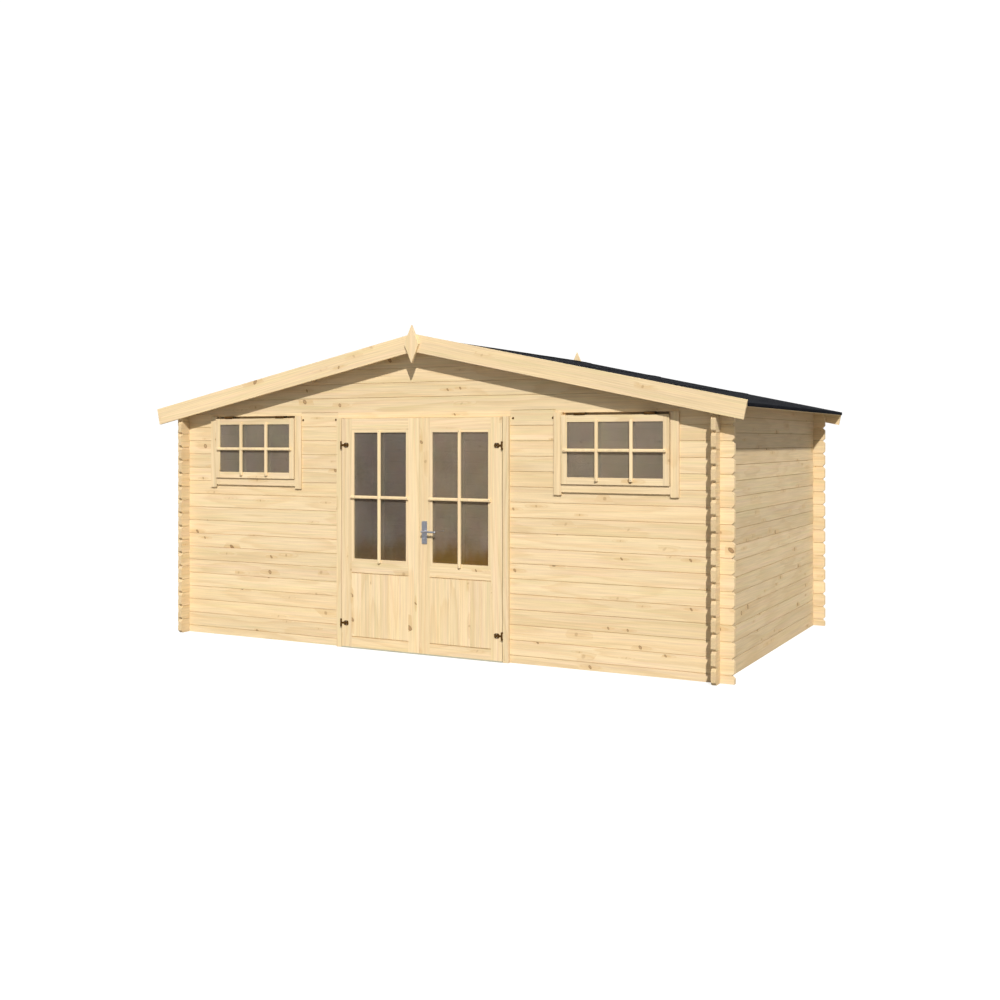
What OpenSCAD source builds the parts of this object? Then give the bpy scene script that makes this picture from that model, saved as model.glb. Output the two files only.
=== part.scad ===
// Log cabin of interlocking tongued logs, with a low felted gable roof,
// a pair of half-glazed doors and two top-hung windows in the front gable wall.
// Millimetres. The ground is Z = 0, the front faces -Y, and the origin is under the middle.

/* [Footprint] */
// Width of the cabin over its wall faces
base_w = 4800; // [4500:10:5600]
// Depth of the cabin over its wall faces
base_d = 2800; // [2200:10:3600]
// How far every log runs on past the corner
ear = 100; // [80:1:140]
// Number of whole logs in each side wall
side_courses = 17; // [16:1:19]

/* [Logs] */
// Thickness of a wall log
log_t = 34; // [30:1:45]
// Height that one log adds to the wall
course_h = 114; // [108:1:124]
// Width of the tongue along the top of a log
tongue_w = 12; // [8:1:14]
// Height of the tongue
tongue_h = 9; // [6:1:12]
// Bevel along the lower edges of a log, which shows as a line at each joint
joint_bevel = 4; // [2:0.5:6]
// Bevel across the free end of a log
end_bevel = 20; // [10:1:30]
// Room between two logs that lie on each other
log_gap = 0.4; // [0.2:0.1:0.8]
// Room on each side of a crossing log in its notch
notch_gap = 0.4; // [0.2:0.1:0.8]

/* [Roof] */
// Slope of the roof in degrees
roof_pitch = 11.8; // [10:0.1:16]
// How far the roof reaches out past the side walls
eave = 220; // [180:5:300]
// Thickness of the roof boards
roof_board_t = 15; // [14:1:24]
// Thickness of the roofing felt
felt_t = 3; // [2:0.5:5]
// Height of the felt turned down at the eave
felt_lip = 25; // [20:1:40]
// Width of a purlin
purlin_w = 44; // [38:1:60]
// Height of a purlin
purlin_h = 86; // [80:1:90]
// Width of a barge board
barge_w = 136; // [110:1:150]
// How far a front barge board stands up over the felt
barge_up = 19; // [5:1:30]
// Thickness of a barge board
barge_t = 20; // [16:1:28]
// Height of the finial over the barge boards
finial_h = 294; // [240:1:340]
// Width of the finial
finial_w = 130; // [100:1:160]
// Thickness of the finial
finial_t = 20; // [16:1:28]
// How far the finial stands up over the ridge
finial_up = 88; // [60:1:100]

/* [Frames] */
// How far doors, sashes and the door frame stand out from the wall face
frame_proud = 29; // [24:1:36]
// How far the sill and side trims of a window stand out from the wall face
trim_proud = 16; // [12:1:22]
// Depth of a frame between the opening and the log ends
frame_web = 26; // [20:1:34]
// Thickness of the frame's strip inside the room
inner_trim_t = 20; // [15:1:28]
// Width of the stop behind a leaf or sash
stop_w = 20; // [14:1:26]
// Room between a frame and the wall it sits in
fit_gap = 0.5; // [0.3:0.1:0.8]
// Room between pieces that are nailed or screwed together
seat_gap = 0.3; // [0.2:0.1:0.5]

/* [Doorway] */
// Clear width between the door jambs
door_w = 1467; // [1300:1:1600]
// Width of a jamb's face
jamb_face = 48.5; // [42:0.5:60]
// How far the lintel log reaches down over the doors
door_drop = 43; // [30:1:60]
// How far the lintel's lowered stretches run past the log ends
drop_lap = 27; // [15:1:32]
// Thickness of the threshold plate
threshold_t = 4; // [3:0.5:6]
// How far the threshold stands out in front of the doors
threshold_out = 4; // [2:1:20]
// Running room round each door leaf
run_gap = 5; // [5:0.5:8]

/* [Door leaves] */
// Thickness of a leaf
leaf_t = 40; // [36:1:44]
// Width of a stile
stile_w = 95; // [85:1:110]
// Height of the top rail
top_rail_h = 90; // [75:1:110]
// Height of the middle rail
mid_rail_h = 87; // [70:1:110]
// Height of the bottom rail
bottom_rail_h = 81; // [65:1:110]
// Height of the panel between the bottom and middle rails
panel_h = 515; // [420:1:620]
// Thickness of the boarded panel
panel_t = 20; // [16:1:24]
// How far the panel lies back from the leaf's face
panel_recess = 0.5; // [0.5:0.5:6]
// Number of boards in the panel
panel_boards = 6; // [4:1:8]
// Depth of the V between two boards of the panel
panel_groove = 3; // [2:0.5:5]
// Height of the groove between the panel and the rails
panel_gap = 6; // [3:1:10]
// Width of the glazing bead
bead_w = 23; // [18:1:30]
// How far the bead lies back from the leaf's faces
bead_recess = 0.5; // [0.5:0.5:8]
// Thickness of the glass
glass_t = 4; // [3:0.5:6]
// Depth of the middle of the glass behind the leaf's face
glass_in = 13; // [10:0.5:22]
// How deep the glass stands in its groove
glass_lap = 8; // [5:1:11]

/* [Door ironwork] */
// Height of the lower hinges over the ground
low_hinge_z = 197; // [150:1:260]
// Height of the upper hinges over the ground
high_hinge_z = 1620; // [1500:1:1700]
// Height of a hinge knuckle
knuckle_h = 62; // [54:1:80]
// Radius of a hinge knuckle
knuckle_r = 7; // [6:0.5:8]
// Radius of a hinge pin
pin_r = 4; // [3:0.5:5]
// Room round a hinge pin
pin_gap = 0.3; // [0.2:0.05:0.5]
// Thickness of the hinge plates
strap_t = 3; // [2:0.5:4]
// Length of the plate on the leaf
strap_l = 68; // [50:1:80]
// Height of the plate on the leaf, and of the knuckle that turns with it
strap_h = 38; // [30:1:44]
// Length of the eye at the end of that plate
eye_l = 44; // [36:1:50]
// Radius of the eye's corners
eye_r = 14; // [8:1:15]
// Length of the hole in the eye
eye_hole_l = 19; // [12:1:24]
// Height of the hole in the eye
eye_hole_h = 12; // [11:1:16]
// Height of the neck between the eye and the knuckle
neck_w = 16; // [10:1:24]
// Width of a handle plate
plate_w = 47; // [40:1:56]
// Height of a handle plate
plate_h = 175; // [150:1:220]
// Thickness of a handle plate
plate_t = 5; // [4:0.5:8]
// Radius of the plate's corners
plate_r = 8; // [4:1:14]
// Distance of the handle from the middle of the doorway
handle_x = 52; // [46:1:58]
// Height of the lever over the ground
handle_z = 955; // [900:1:1050]
// Depth of the plate's middle under the lever
plate_low = 8; // [0:1:20]
// Length of the lever
lever_l = 125; // [100:1:140]
// Radius of the lever
lever_r = 8; // [6:0.5:10]
// Distance of the lever from its plate
lever_out = 40; // [32:1:50]
// Radius of the spindle through the leaf
spindle_r = 4.5; // [4:0.5:6]
// Radius of the hole for the spindle in the stile
spindle_hole_r = 10; // [10:0.5:14]

/* [Windows] */
// How far a window's middle lies outside the midpoint between doorway and corner
window_shift = 49; // [0:1:80]
// Clear width between a window's side trims
window_w = 838; // [700:1:900]
// Number of whole logs under a window
window_course = 11; // [9:1:12]
// How far the lintel log reaches down over a window
window_drop = 21; // [12:1:28]
// Width of the side trims of a window
trim_face = 62; // [50:1:75]
// Height of the sill's face
sill_face = 56; // [45:1:65]
// How far the side trims run down past the sill
trim_tail = 21; // [10:1:40]
// Room round a sash
sash_gap = 4; // [3:0.5:6]
// Slot over a sash, where its hinges sit
sash_slot = 20; // [12:1:24]
// Depth of that slot behind the wall's face
slot_d = 28; // [20:1:29]
// Width of a sash's stiles
sash_stile = 47; // [40:1:60]
// Height of a sash's top rail
sash_top = 50; // [40:1:75]
// Height of a sash's bottom rail
sash_bottom = 51; // [44:1:70]
// Thickness of the glass in a sash
sash_glass_t = 4; // [3:0.5:6]
// Depth of the middle of that glass behind the sash's face
sash_glass_in = 9; // [7:0.5:20]
// Distance of a sash hinge from the window's middle
sash_hinge_x = 270; // [200:5:320]
// Length of a sash hinge
sash_hinge_l = 80; // [60:1:100]
// Thickness of a sash hinge's plates
sash_plate_t = 2.5; // [2:0.5:3]

/* [Floor] */
// Thickness of the floor boards
floor_t = 19; // [16:1:28]
// Height of the bearers under the floor
bearer_h = 38; // [30:1:60]
// Width of a bearer
bearer_w = 60; // [45:1:80]
// Number of bearers
bearer_count = 6; // [4:1:8]
// Room between the floor and the walls
floor_gap = 6; // [4:1:12]

/* [Hidden] */
$fn = 48;
// Walls
half_w = base_w / 2;
half_d = base_d / 2;
side_x = half_w - log_t / 2;
gable_y = half_d - log_t / 2;
wall_top = side_courses * course_h;
lintel_z = (side_courses - 0.5) * course_h;
gable_z = lintel_z + course_h;
groove_w = tongue_w + 2 * log_gap;
groove_h = tongue_h + 2 * log_gap;
neck_h = course_h / 2;
// Roof
ridge_z = roof_under(0);
roof_end = half_d + ear;
eave_x = half_w + eave;
deck_rise = roof_board_t / cos(roof_pitch);
felt_rise = felt_t / cos(roof_pitch);
gable_courses = max(1, round((ridge_z - gable_z) / course_h));
slope_reach = half_w + 2 * ear;
// Side purlins lie where the third gable log runs out under the slope
purlin_x = gable_half(gable_z + 2 * course_h) - purlin_w / 4;
// Depths measured from the wall's outer face, inwards
leaf_back = leaf_t - frame_proud;
stop_y = leaf_back + run_gap;
inner_face_y = log_t + inner_trim_t;
// Doorway
door_slot = door_w + 2 * (frame_web + fit_gap);
door_top = lintel_z - door_drop;
leaf_z0 = threshold_t + run_gap;
leaf_z1 = door_top - run_gap;
leaf_x0 = run_gap / 2;
leaf_x1 = door_w / 2 - run_gap;
pane_x0 = leaf_x0 + stile_w;
pane_x1 = leaf_x1 - stile_w;
panel_z0 = leaf_z0 + bottom_rail_h;
panel_z1 = panel_z0 + panel_h;
pane_z0 = panel_z1 + mid_rail_h;
pane_z1 = leaf_z1 - top_rail_h;
hinge_x = door_w / 2 - run_gap / 2;
hinge_y = -frame_proud - knuckle_r - 1;
plate_z = handle_z - plate_low;
// Windows
window_x = (door_slot / 2 + half_w) / 2 + window_shift;
window_slot = window_w + 2 * (frame_web + fit_gap);
window_z0 = (window_course + 0.5) * course_h;
window_z1 = lintel_z - window_drop;
sill_z = window_z0 + fit_gap + frame_web;
sash_z0 = sill_z + sash_gap / 2;
sash_z1 = window_z1 - sash_slot;
sash_x = window_w / 2 - sash_gap;
// Floor
floor_z = bearer_h + floor_t;
cut = 1;

// Colours
log_colour = "#EFD6A6";
trim_colour = "#F3DEB4";
leaf_colour = "#F2DAAC";
deck_colour = "#E3C694";
felt_colour = "#23262E";
glass_colour = "#7A7467";
iron_colour = "#5A3D1C";
steel_colour = "#8A8C98";
floor_colour = "#D9BC8A";

// Height of the roof's underside at a distance x from the ridge line
function roof_under(x) = wall_top + (half_w - abs(x)) * tan(roof_pitch);
// Half length of a gable log whose underside is at height z
function gable_half(z) = half_w - (z - wall_top) / tan(roof_pitch);
// Height of the underside of front or back log k, where log 0 is a half log on the ground
function gable_wall_z(k) = k == 0 ? 0 : (k - 0.5) * course_h;

// Section of a log across the wall: shoulders, tongue above and groove below
module log_section(h, tongue, groove) {
  half = log_t / 2;
  z0 = groove ? log_gap / 2 : 0;
  z1 = h - log_gap / 2;
  lower = groove
    ? [[-half, z0 + joint_bevel], [-half + joint_bevel, z0],
       [-groove_w / 2, z0], [-groove_w / 2, z0 + groove_h],
       [groove_w / 2, z0 + groove_h], [groove_w / 2, z0],
       [half - joint_bevel, z0], [half, z0 + joint_bevel]]
    : [[-half, z0], [half, z0]];
  upper = tongue
    ? [[half, z1], [tongue_w / 2, z1], [tongue_w / 2, z1 + tongue_h],
       [-tongue_w / 2, z1 + tongue_h], [-tongue_w / 2, z1], [-half, z1]]
    : [[half, z1], [-half, z1]];
  polygon(concat(lower, upper));
}

// Notches above and below the neck where a log crosses the wall at x
module cross_notch(x, mid) {
  for (side = [-1, 1])
    translate([x, mid + side * (neck_h / 2 - log_gap / 2 + course_h / 2)])
      square([log_t + 2 * notch_gap, course_h], center = true);
}

// Face of a log from x0 to x1, with bevelled corners at its free ends
module log_face(x0, x1, h, mid, free_ends, crossings) {
  tail0 = len([for (e = free_ends) if (e == x0) e]) * end_bevel;
  tail1 = len([for (e = free_ends) if (e == x1) e]) * end_bevel;
  difference() {
    union() {
      difference() {
        translate([x0, 0])
          square([x1 - x0, h]);
        for (x = free_ends, z = [mid == 0 ? -course_h : 0, h])
          translate([x, z])
            rotate(45)
              square(end_bevel * sqrt(2), center = true);
      }
      translate([x0 + tail0, h - joint_bevel - cut])
        square([x1 - x0 - tail0 - tail1, tongue_h + joint_bevel + 2 * cut]);
    }
    for (x = crossings)
      cross_notch(x, mid);
  }
}

// A log along X with its underside at height z; children are cut from its face
module wall_log(x0, x1, z, free_ends, crossings, h = course_h, mid = course_h / 2,
                tongue = true, groove = true) {
  translate([0, 0, z])
    intersection() {
      translate([x0, 0, 0])
        rotate([90, 0, 90])
          linear_extrude(x1 - x0)
            log_section(h, tongue, groove);
      rotate([90, 0, 0])
        linear_extrude(log_t + 2 * cut, center = true)
          difference() {
            log_face(x0, x1, h, mid, free_ends, crossings);
            translate([0, -z])
              children();
          }
    }
}

// Half log that lies on the ground under the front and back walls
module ground_log(x0, x1, free_ends, crossings) {
  wall_log(x0, x1, 0, free_ends, crossings, h = course_h / 2, mid = 0, groove = false);
}

// Everything over the roof's underside, seen from the front
module above_roof() {
  top = ridge_z + course_h;
  low = roof_under(slope_reach) - seat_gap;
  polygon([
    [-slope_reach, low], [0, ridge_z - seat_gap], [slope_reach, low],
    [slope_reach, top], [-slope_reach, top]
  ]);
}

// Slots in the gable for the three purlins
module purlin_slots() {
  for (x = [-purlin_x, 0, purlin_x])
    translate([x - purlin_w / 2 - notch_gap, roof_under(x) - purlin_h - seat_gap])
      square([purlin_w + 2 * notch_gap, purlin_h + course_h]);
}

// Lowered stretches of the lintel log over the doors and windows, seen from the front
module lintel_drops(gap) {
  spans = [
    [0, door_slot, door_top],
    [-window_x, window_slot, window_z1], [window_x, window_slot, window_z1]
  ];
  for (s = spans)
    translate([s[0] - s[1] / 2 - drop_lap - gap, s[2] - gap])
      square([s[1] + 2 * (drop_lap + gap), lintel_z - s[2] + groove_h + joint_bevel + 2 * gap]);
}

// Room for a window frame on the log under it, which has no tongue there
module window_seat(side) {
  translate([side * window_x - window_slot / 2, window_z0 - log_gap / 2])
    square([window_slot, course_h / 2]);
}

// Front logs of one side that run from the corner to the doorway, under the window
module lower_logs(side) {
  corner = side * (half_w + ear);
  ends = [min(corner, side * door_slot / 2), max(corner, side * door_slot / 2)];
  color(log_colour)
    translate([0, -gable_y, 0]) {
      ground_log(ends[0], ends[1], [corner], [side * side_x]);
      for (k = [1 : window_course])
        wall_log(ends[0], ends[1], gable_wall_z(k), [corner], [side * side_x])
          if (k == window_course)
            window_seat(side);
    }
}

// Front logs between the corner and a window
module corner_logs(side) {
  corner = side * (half_w + ear);
  jamb = side * (window_x + window_slot / 2);
  color(log_colour)
    translate([0, -gable_y, 0])
      for (k = [window_course + 1 : side_courses - 1])
        wall_log(min(corner, jamb), max(corner, jamb), gable_wall_z(k), [corner], [side * side_x])
          lintel_drops(log_gap);
}

// Front logs between a window and the doorway
module pier_logs(side) {
  outer = side * (window_x - window_slot / 2);
  inner = side * door_slot / 2;
  color(log_colour)
    translate([0, -gable_y, 0])
      for (k = [window_course + 1 : side_courses - 1])
        wall_log(min(outer, inner), max(outer, inner), gable_wall_z(k), [], [])
          lintel_drops(log_gap);
}

module front_left_lower_logs() { lower_logs(-1); }
module front_right_lower_logs() { lower_logs(1); }
module front_left_corner_logs() { corner_logs(-1); }
module front_right_corner_logs() { corner_logs(1); }
module front_left_pier_logs() { pier_logs(-1); }
module front_right_pier_logs() { pier_logs(1); }

// Topmost log that still crosses the side walls, its ends cut to the roof slope
module crown_log() {
  end = half_w + ear;
  wall_log(-end, end, lintel_z, [-end, end], [-side_x, side_x])
    above_roof();
}

module front_lintel_log() {
  color(log_colour)
    translate([0, -gable_y, 0]) {
      crown_log();
      rotate([90, 0, 0])
        linear_extrude(log_t, center = true)
          lintel_drops(0);
    }
}

// Gable over the crown log, from logs cut to the slope
module gable_logs() {
  for (i = [0 : gable_courses - 1]) {
    z = gable_z + i * course_h;
    top = i == gable_courses - 1;
    reach = gable_half(z);
    wall_log(-reach, reach, z, [], [], h = top ? ridge_z - z + log_gap : course_h, tongue = !top) {
      union() {
        above_roof();
        purlin_slots();
      }
    }
  }
}

module front_gable_logs() {
  color(log_colour)
    translate([0, -gable_y, 0])
      gable_logs();
}

module back_wall_logs() {
  end = half_w + ear;
  color(log_colour)
    translate([0, gable_y, 0]) {
      ground_log(-end, end, [-end, end], [-side_x, side_x]);
      for (k = [1 : side_courses - 1])
        wall_log(-end, end, gable_wall_z(k), [-end, end], [-side_x, side_x]);
      crown_log();
    }
}

module back_gable_logs() {
  color(log_colour)
    translate([0, gable_y, 0])
      gable_logs();
}

// Logs of one side wall
module side_logs(side) {
  end = half_d + ear;
  color(log_colour)
    translate([side * side_x, 0, 0])
      rotate([0, 0, 90])
        for (n = [0 : side_courses - 1])
          wall_log(-end, end, n * course_h, [-end, end], [-gable_y, gable_y],
                   tongue = n < side_courses - 1, groove = n > 0);
}

module left_wall_logs() { side_logs(-1); }
module right_wall_logs() { side_logs(1); }

// Purlin section under the roof, its top cut to the slope
module purlin_section(x) {
  x0 = x - purlin_w / 2;
  x1 = x + purlin_w / 2;
  z0 = roof_under(x) - purlin_h;
  z = function(at) roof_under(at) - seat_gap;
  polygon(x == 0
    ? [[x0, z0], [x1, z0], [x1, z(x1)], [x, z(x)], [x0, z(x0)]]
    : [[x0, z0], [x1, z0], [x1, z(x1)], [x0, z(x0)]]);
}

module purlins() {
  color(deck_colour)
    rotate([90, 0, 0])
      for (x = [-purlin_x, 0, purlin_x])
        linear_extrude(2 * roof_end, center = true)
          purlin_section(x);
}

// Right half of a layer that lies on the slope, its eave end cut square to the slope
module slope_layer(low, high) {
  t = high - low;
  tip_x = eave_x;
  tip_z = roof_under(tip_x) + high;
  polygon([
    [seat_gap / 2, ridge_z + low], [seat_gap / 2, ridge_z + high], [tip_x, tip_z],
    [tip_x - t * cos(roof_pitch) * sin(roof_pitch), tip_z - t * pow(cos(roof_pitch), 2)]
  ]);
}

module roof_boards(side) {
  color(deck_colour)
    scale_side(side)
      rotate([90, 0, 0])
        linear_extrude(2 * roof_end, center = true)
          slope_layer(0, deck_rise);
}

// Felt on one slope, turned down at the eave and laid over the back barge board
module roof_felt(side) {
  back_end = roof_end + seat_gap + barge_t;
  low = deck_rise + seat_gap;
  tip_z = roof_under(eave_x) + low;
  color(felt_colour)
    scale_side(side)
      translate([0, back_end, 0])
        rotate([90, 0, 0])
          linear_extrude(roof_end + back_end)
            polygon([
              [seat_gap / 2, ridge_z + low], [seat_gap / 2, ridge_z + low + felt_rise],
              [eave_x + seat_gap + felt_t, tip_z + felt_rise],
              [eave_x + seat_gap + felt_t, tip_z + felt_rise - felt_lip],
              [eave_x + seat_gap, tip_z + felt_rise - felt_lip],
              [eave_x + seat_gap, tip_z - seat_gap * tan(roof_pitch)]
            ]);
}

// Right-hand shape as it is, or mirrored to the left
module scale_side(side) {
  if (side > 0)
    children();
  else
    mirror([1, 0, 0])
      children();
}

module left_roof_boards() { roof_boards(-1); }
module right_roof_boards() { roof_boards(1); }
module left_roof_felt() { roof_felt(-1); }
module right_roof_felt() { roof_felt(1); }

// Barge boards: the front pair stands up over the felt, the back pair stops under it
module barge_boards() {
  tip_z = roof_under(eave_x) + deck_rise;
  low = felt_t + barge_up - barge_w;
  color(trim_colour)
    for (end = [-1, 1], side = [-1, 1]) {
      high = end < 0 ? felt_t + barge_up : 0;
      translate([0, end * (roof_end + seat_gap + barge_t / 2), 0])
        scale_side(side)
          rotate([90, 0, 0])
            linear_extrude(barge_t, center = true)
              polygon([
                [seat_gap / 2, ridge_z + deck_rise + high / cos(roof_pitch)],
                [eave_x + high * sin(roof_pitch), tip_z + high * cos(roof_pitch)],
                [eave_x + low * sin(roof_pitch), tip_z + low * cos(roof_pitch)],
                [seat_gap / 2, ridge_z + deck_rise + low / cos(roof_pitch)]
              ]);
    }
}

module finials() {
  top = ridge_z + deck_rise + finial_up;
  color(trim_colour)
    for (end = [-1, 1])
      translate([0, end * (roof_end + barge_t + 2 * seat_gap + finial_t / 2), top - finial_h / 2])
        rotate([90, 0, 0])
          linear_extrude(finial_t, center = true)
            polygon([[0, -finial_h / 2], [finial_w / 2, 0], [0, finial_h / 2], [-finial_w / 2, 0]]);
}

// Section of a frame that grips the log ends: face strip, web, inner strip and stop.
// The opening lies at negative x, and y runs inwards from the wall's outer face.
module frame_section(face, proud) {
  polygon([
    [0, -proud], [face, -proud], [face, -seat_gap], [frame_web, -seat_gap],
    [frame_web, log_t + seat_gap], [face, log_t + seat_gap], [face, inner_face_y],
    [-stop_w, inner_face_y], [-stop_w, stop_y], [0, stop_y]
  ]);
}

// Places children with y = 0 on the outer face of the front wall
module at_front() {
  translate([0, -half_d, 0])
    children();
}

module door_frame() {
  inner_half = door_w / 2 - stop_w - seat_gap;
  color(trim_colour)
    at_front() {
      for (side = [-1, 1])
        scale_side(side)
          translate([door_w / 2, 0, 0])
            linear_extrude(door_top - seat_gap)
              frame_section(jamb_face, frame_proud);
      // Head, with a strip against the inside of the lintel log
      rotate([90, 0, 90])
        linear_extrude(2 * inner_half, center = true)
          polygon([
            [stop_y, door_top - stop_w - run_gap], [inner_face_y, door_top - stop_w - run_gap],
            [inner_face_y, door_top + stop_w], [log_t + seat_gap, door_top + stop_w],
            [log_t + seat_gap, door_top - seat_gap], [stop_y, door_top - seat_gap]
          ]);
      // Bottom rail between the jambs, up to the floor
      translate([-inner_half, stop_y, 0])
        cube([2 * inner_half, inner_face_y - stop_y, floor_z]);
    }
}

module door_threshold() {
  half = door_w / 2 - seat_gap;
  color(steel_colour)
    at_front()
      translate([-half, -frame_proud - threshold_out, 0])
        cube([2 * half, threshold_out + frame_proud + stop_y - seat_gap, threshold_t]);
}

// Window frame: side trims, sill and head
module window_frame(side) {
  trim_z0 = sill_z - sill_face - trim_tail;
  half = window_w / 2;
  color(trim_colour)
    at_front()
      translate([side * window_x, 0, 0]) {
        for (hand = [-1, 1])
          scale_side(hand)
            difference() {
              translate([half, 0, trim_z0])
                linear_extrude(window_z1 - seat_gap - trim_z0)
                  frame_section(trim_face, trim_proud);
              // The side trims hang past the wall under the window, on both its faces
              translate([half - stop_w - cut, -seat_gap, trim_z0 - cut])
                cube([stop_w + trim_face + 2 * cut, log_t + 2 * seat_gap, window_z0 + fit_gap - trim_z0 + cut]);
            }
        difference() {
          translate([0, 0, sill_z])
            rotate([0, 90, 0])
              linear_extrude(2 * (half - seat_gap), center = true)
                frame_section(sill_face, trim_proud);
          for (hand = [-1, 1])
            translate([hand * half, 0, sill_z])
              translate([-stop_w - seat_gap, stop_y - seat_gap, -sill_face - cut])
                cube([2 * (stop_w + seat_gap), inner_face_y, sill_face + stop_w + 2 * cut]);
        }
        // Head behind the sash, set back in the slot over it
        rotate([90, 0, 90])
          linear_extrude(2 * (half - stop_w - seat_gap), center = true)
            polygon([
              [stop_y, sash_z1 - stop_w], [inner_face_y, sash_z1 - stop_w],
              [inner_face_y, window_z1 - seat_gap], [slot_d, window_z1 - seat_gap],
              [slot_d, sash_z1], [stop_y, sash_z1]
            ]);
      }
}

module left_window_frame() { window_frame(-1); }
module right_window_frame() { window_frame(1); }

// A pane with its lower left corner at x0, z0, its middle at depth y
module pane(x0, z0, x1, z1, y, t, room = 0) {
  translate([x0 - room, y - t / 2 - room, z0 - room])
    cube([x1 - x0 + 2 * room, t + 2 * room, z1 - z0 + 2 * room]);
}

// Flat ring in the wall's plane
module ring(x0, z0, x1, z1, left, low, right, high, y0, t) {
  translate([0, y0 + t, 0])
    rotate([90, 0, 0])
      linear_extrude(t)
        difference() {
          translate([x0, z0])
            square([x1 - x0, z1 - z0]);
          translate([x0 + left, z0 + low])
            square([x1 - x0 - left - right, z1 - z0 - low - high]);
        }
}

// Glass of a window sash, let into the sash all round
module sash_pane(room = 0) {
  pane(-sash_x + sash_stile - glass_lap, sash_z0 + sash_bottom - glass_lap,
       sash_x - sash_stile + glass_lap, sash_z1 - sash_top + glass_lap,
       sash_glass_in - frame_proud, sash_glass_t, room);
}

module window_sash(side) {
  color(trim_colour)
    at_front()
      translate([side * window_x, 0, 0])
        difference() {
          ring(-sash_x, sash_z0, sash_x, sash_z1, sash_stile, sash_bottom, sash_stile, sash_top,
               -frame_proud, leaf_t);
          sash_pane(seat_gap);
        }
}

module left_window_sash() { window_sash(-1); }
module right_window_sash() { window_sash(1); }

module window_glass(side) {
  color(glass_colour)
    at_front()
      translate([side * window_x, 0, 0])
        sash_pane();
}

module left_window_glass() { window_glass(-1); }
module right_window_glass() { window_glass(1); }

// Butt hinges in the slot over each sash: one plate on the sash, one under the lintel log
module window_hinges() {
  r = (sash_slot - 2 * seat_gap) / 2;
  pivot_z = (sash_z1 + window_z1) / 2;
  low_back = leaf_back - r;
  high_back = stop_y - seat_gap;
  color(iron_colour)
    at_front()
      for (side = [-1, 1], hand = [-1, 1])
        translate([side * window_x + hand * sash_hinge_x, -frame_proud, pivot_z])
          rotate([90, 0, 90])
            linear_extrude(sash_hinge_l, center = true) {
              circle(r);
              translate([0, -r])
                square([frame_proud + low_back, sash_plate_t]);
              translate([0, r - sash_plate_t])
                square([frame_proud + high_back, sash_plate_t]);
            }
}

module floor_boards() {
  x = half_w - log_t - floor_gap;
  y = half_d - log_t - floor_gap;
  notch_x = door_w / 2 + jamb_face + floor_gap;
  color(floor_colour)
    translate([0, 0, bearer_h])
      linear_extrude(floor_t)
        difference() {
          square([2 * x, 2 * y], center = true);
          translate([-notch_x, -half_d])
            square([2 * notch_x, inner_face_y + seat_gap]);
        }
}

module floor_bearers() {
  length = base_w - 2 * (log_t + floor_gap);
  first = half_d - log_t - inner_trim_t - bearer_w;
  color(floor_colour)
    for (i = [0 : bearer_count - 1])
      translate([-length / 2, -first + i * 2 * first / (bearer_count - 1) - bearer_w / 2, 0])
        cube([length, bearer_w, bearer_h - seat_gap]);
}

// Places children on the hinge line of each hinge of the right door
module at_hinges() {
  at_front()
    for (z = [low_hinge_z, high_hinge_z])
      translate([hinge_x, hinge_y, z])
        children();
}

// Two knuckles on the jamb, above and below the leaf's own, with the pin through all three
module hinge_pin() {
  face = -frame_proud - hinge_y - seat_gap;
  half = knuckle_h / 2;
  end_h = half - strap_h / 2 - pin_gap;
  for (z = [-half, half - end_h])
    translate([0, 0, z]) {
      cylinder(r = knuckle_r, h = end_h);
      // Foot on the jamb
      translate([run_gap / 2, 0, 0])
        cube([knuckle_r - run_gap / 2, face, end_h]);
    }
  translate([0, 0, -half])
    cylinder(r = pin_r, h = knuckle_h);
}

module door_hinge_pins() {
  color(iron_colour)
    for (side = [-1, 1])
      scale_side(side)
        at_hinges()
          hinge_pin();
}

// Flat shape with rounded corners about its middle
module rounded(length, height, r) {
  square([length - 2 * r, height], center = true);
  square([length, height - 2 * r], center = true);
  for (x = [-1, 1], y = [-1, 1])
    translate([x * (length / 2 - r), y * (height / 2 - r)])
      circle(r);
}

// Middle knuckle, and the plate on the leaf with the eye at its end
module hinge_strap() {
  face = -frame_proud - hinge_y - seat_gap;
  eye_x = eye_l / 2 - strap_l;
  difference() {
    union() {
      cylinder(r = knuckle_r, h = strap_h, center = true);
      translate([0, face, 0])
        rotate([90, 0, 0])
          linear_extrude(strap_t)
            difference() {
              union() {
                translate([eye_x, 0])
                  rounded(eye_l, strap_h, eye_r);
                translate([eye_x, -neck_w / 2])
                  square([-eye_x, neck_w]);
              }
              translate([eye_x, 0])
                rounded(eye_hole_l, eye_hole_h, eye_hole_h / 2 - cut);
            }
    }
    cylinder(r = pin_r + pin_gap, h = knuckle_h, center = true);
  }
}

module door_straps(side) {
  color(iron_colour)
    scale_side(side)
      at_hinges()
        hinge_strap();
}

module left_door_straps() { door_straps(-1); }
module right_door_straps() { door_straps(1); }

// A square-edged member of a leaf, seen from the front
module leaf_member(x0, z0, x1, z1) {
  translate([x0, -frame_proud, z0])
    cube([x1 - x0, leaf_t, z1 - z0]);
}

// Meeting stile and hinge stile of the right leaf
module leaf_stiles() {
  leaf_member(leaf_x0, leaf_z0, pane_x0, leaf_z1);
  leaf_member(pane_x1, leaf_z0, leaf_x1, leaf_z1);
}

module leaf_rails() {
  for (z = [[leaf_z0, panel_z0], [panel_z1, pane_z0], [pane_z1, leaf_z1]])
    leaf_member(pane_x0 + seat_gap, z[0], pane_x1 - seat_gap, z[1]);
}

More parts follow.
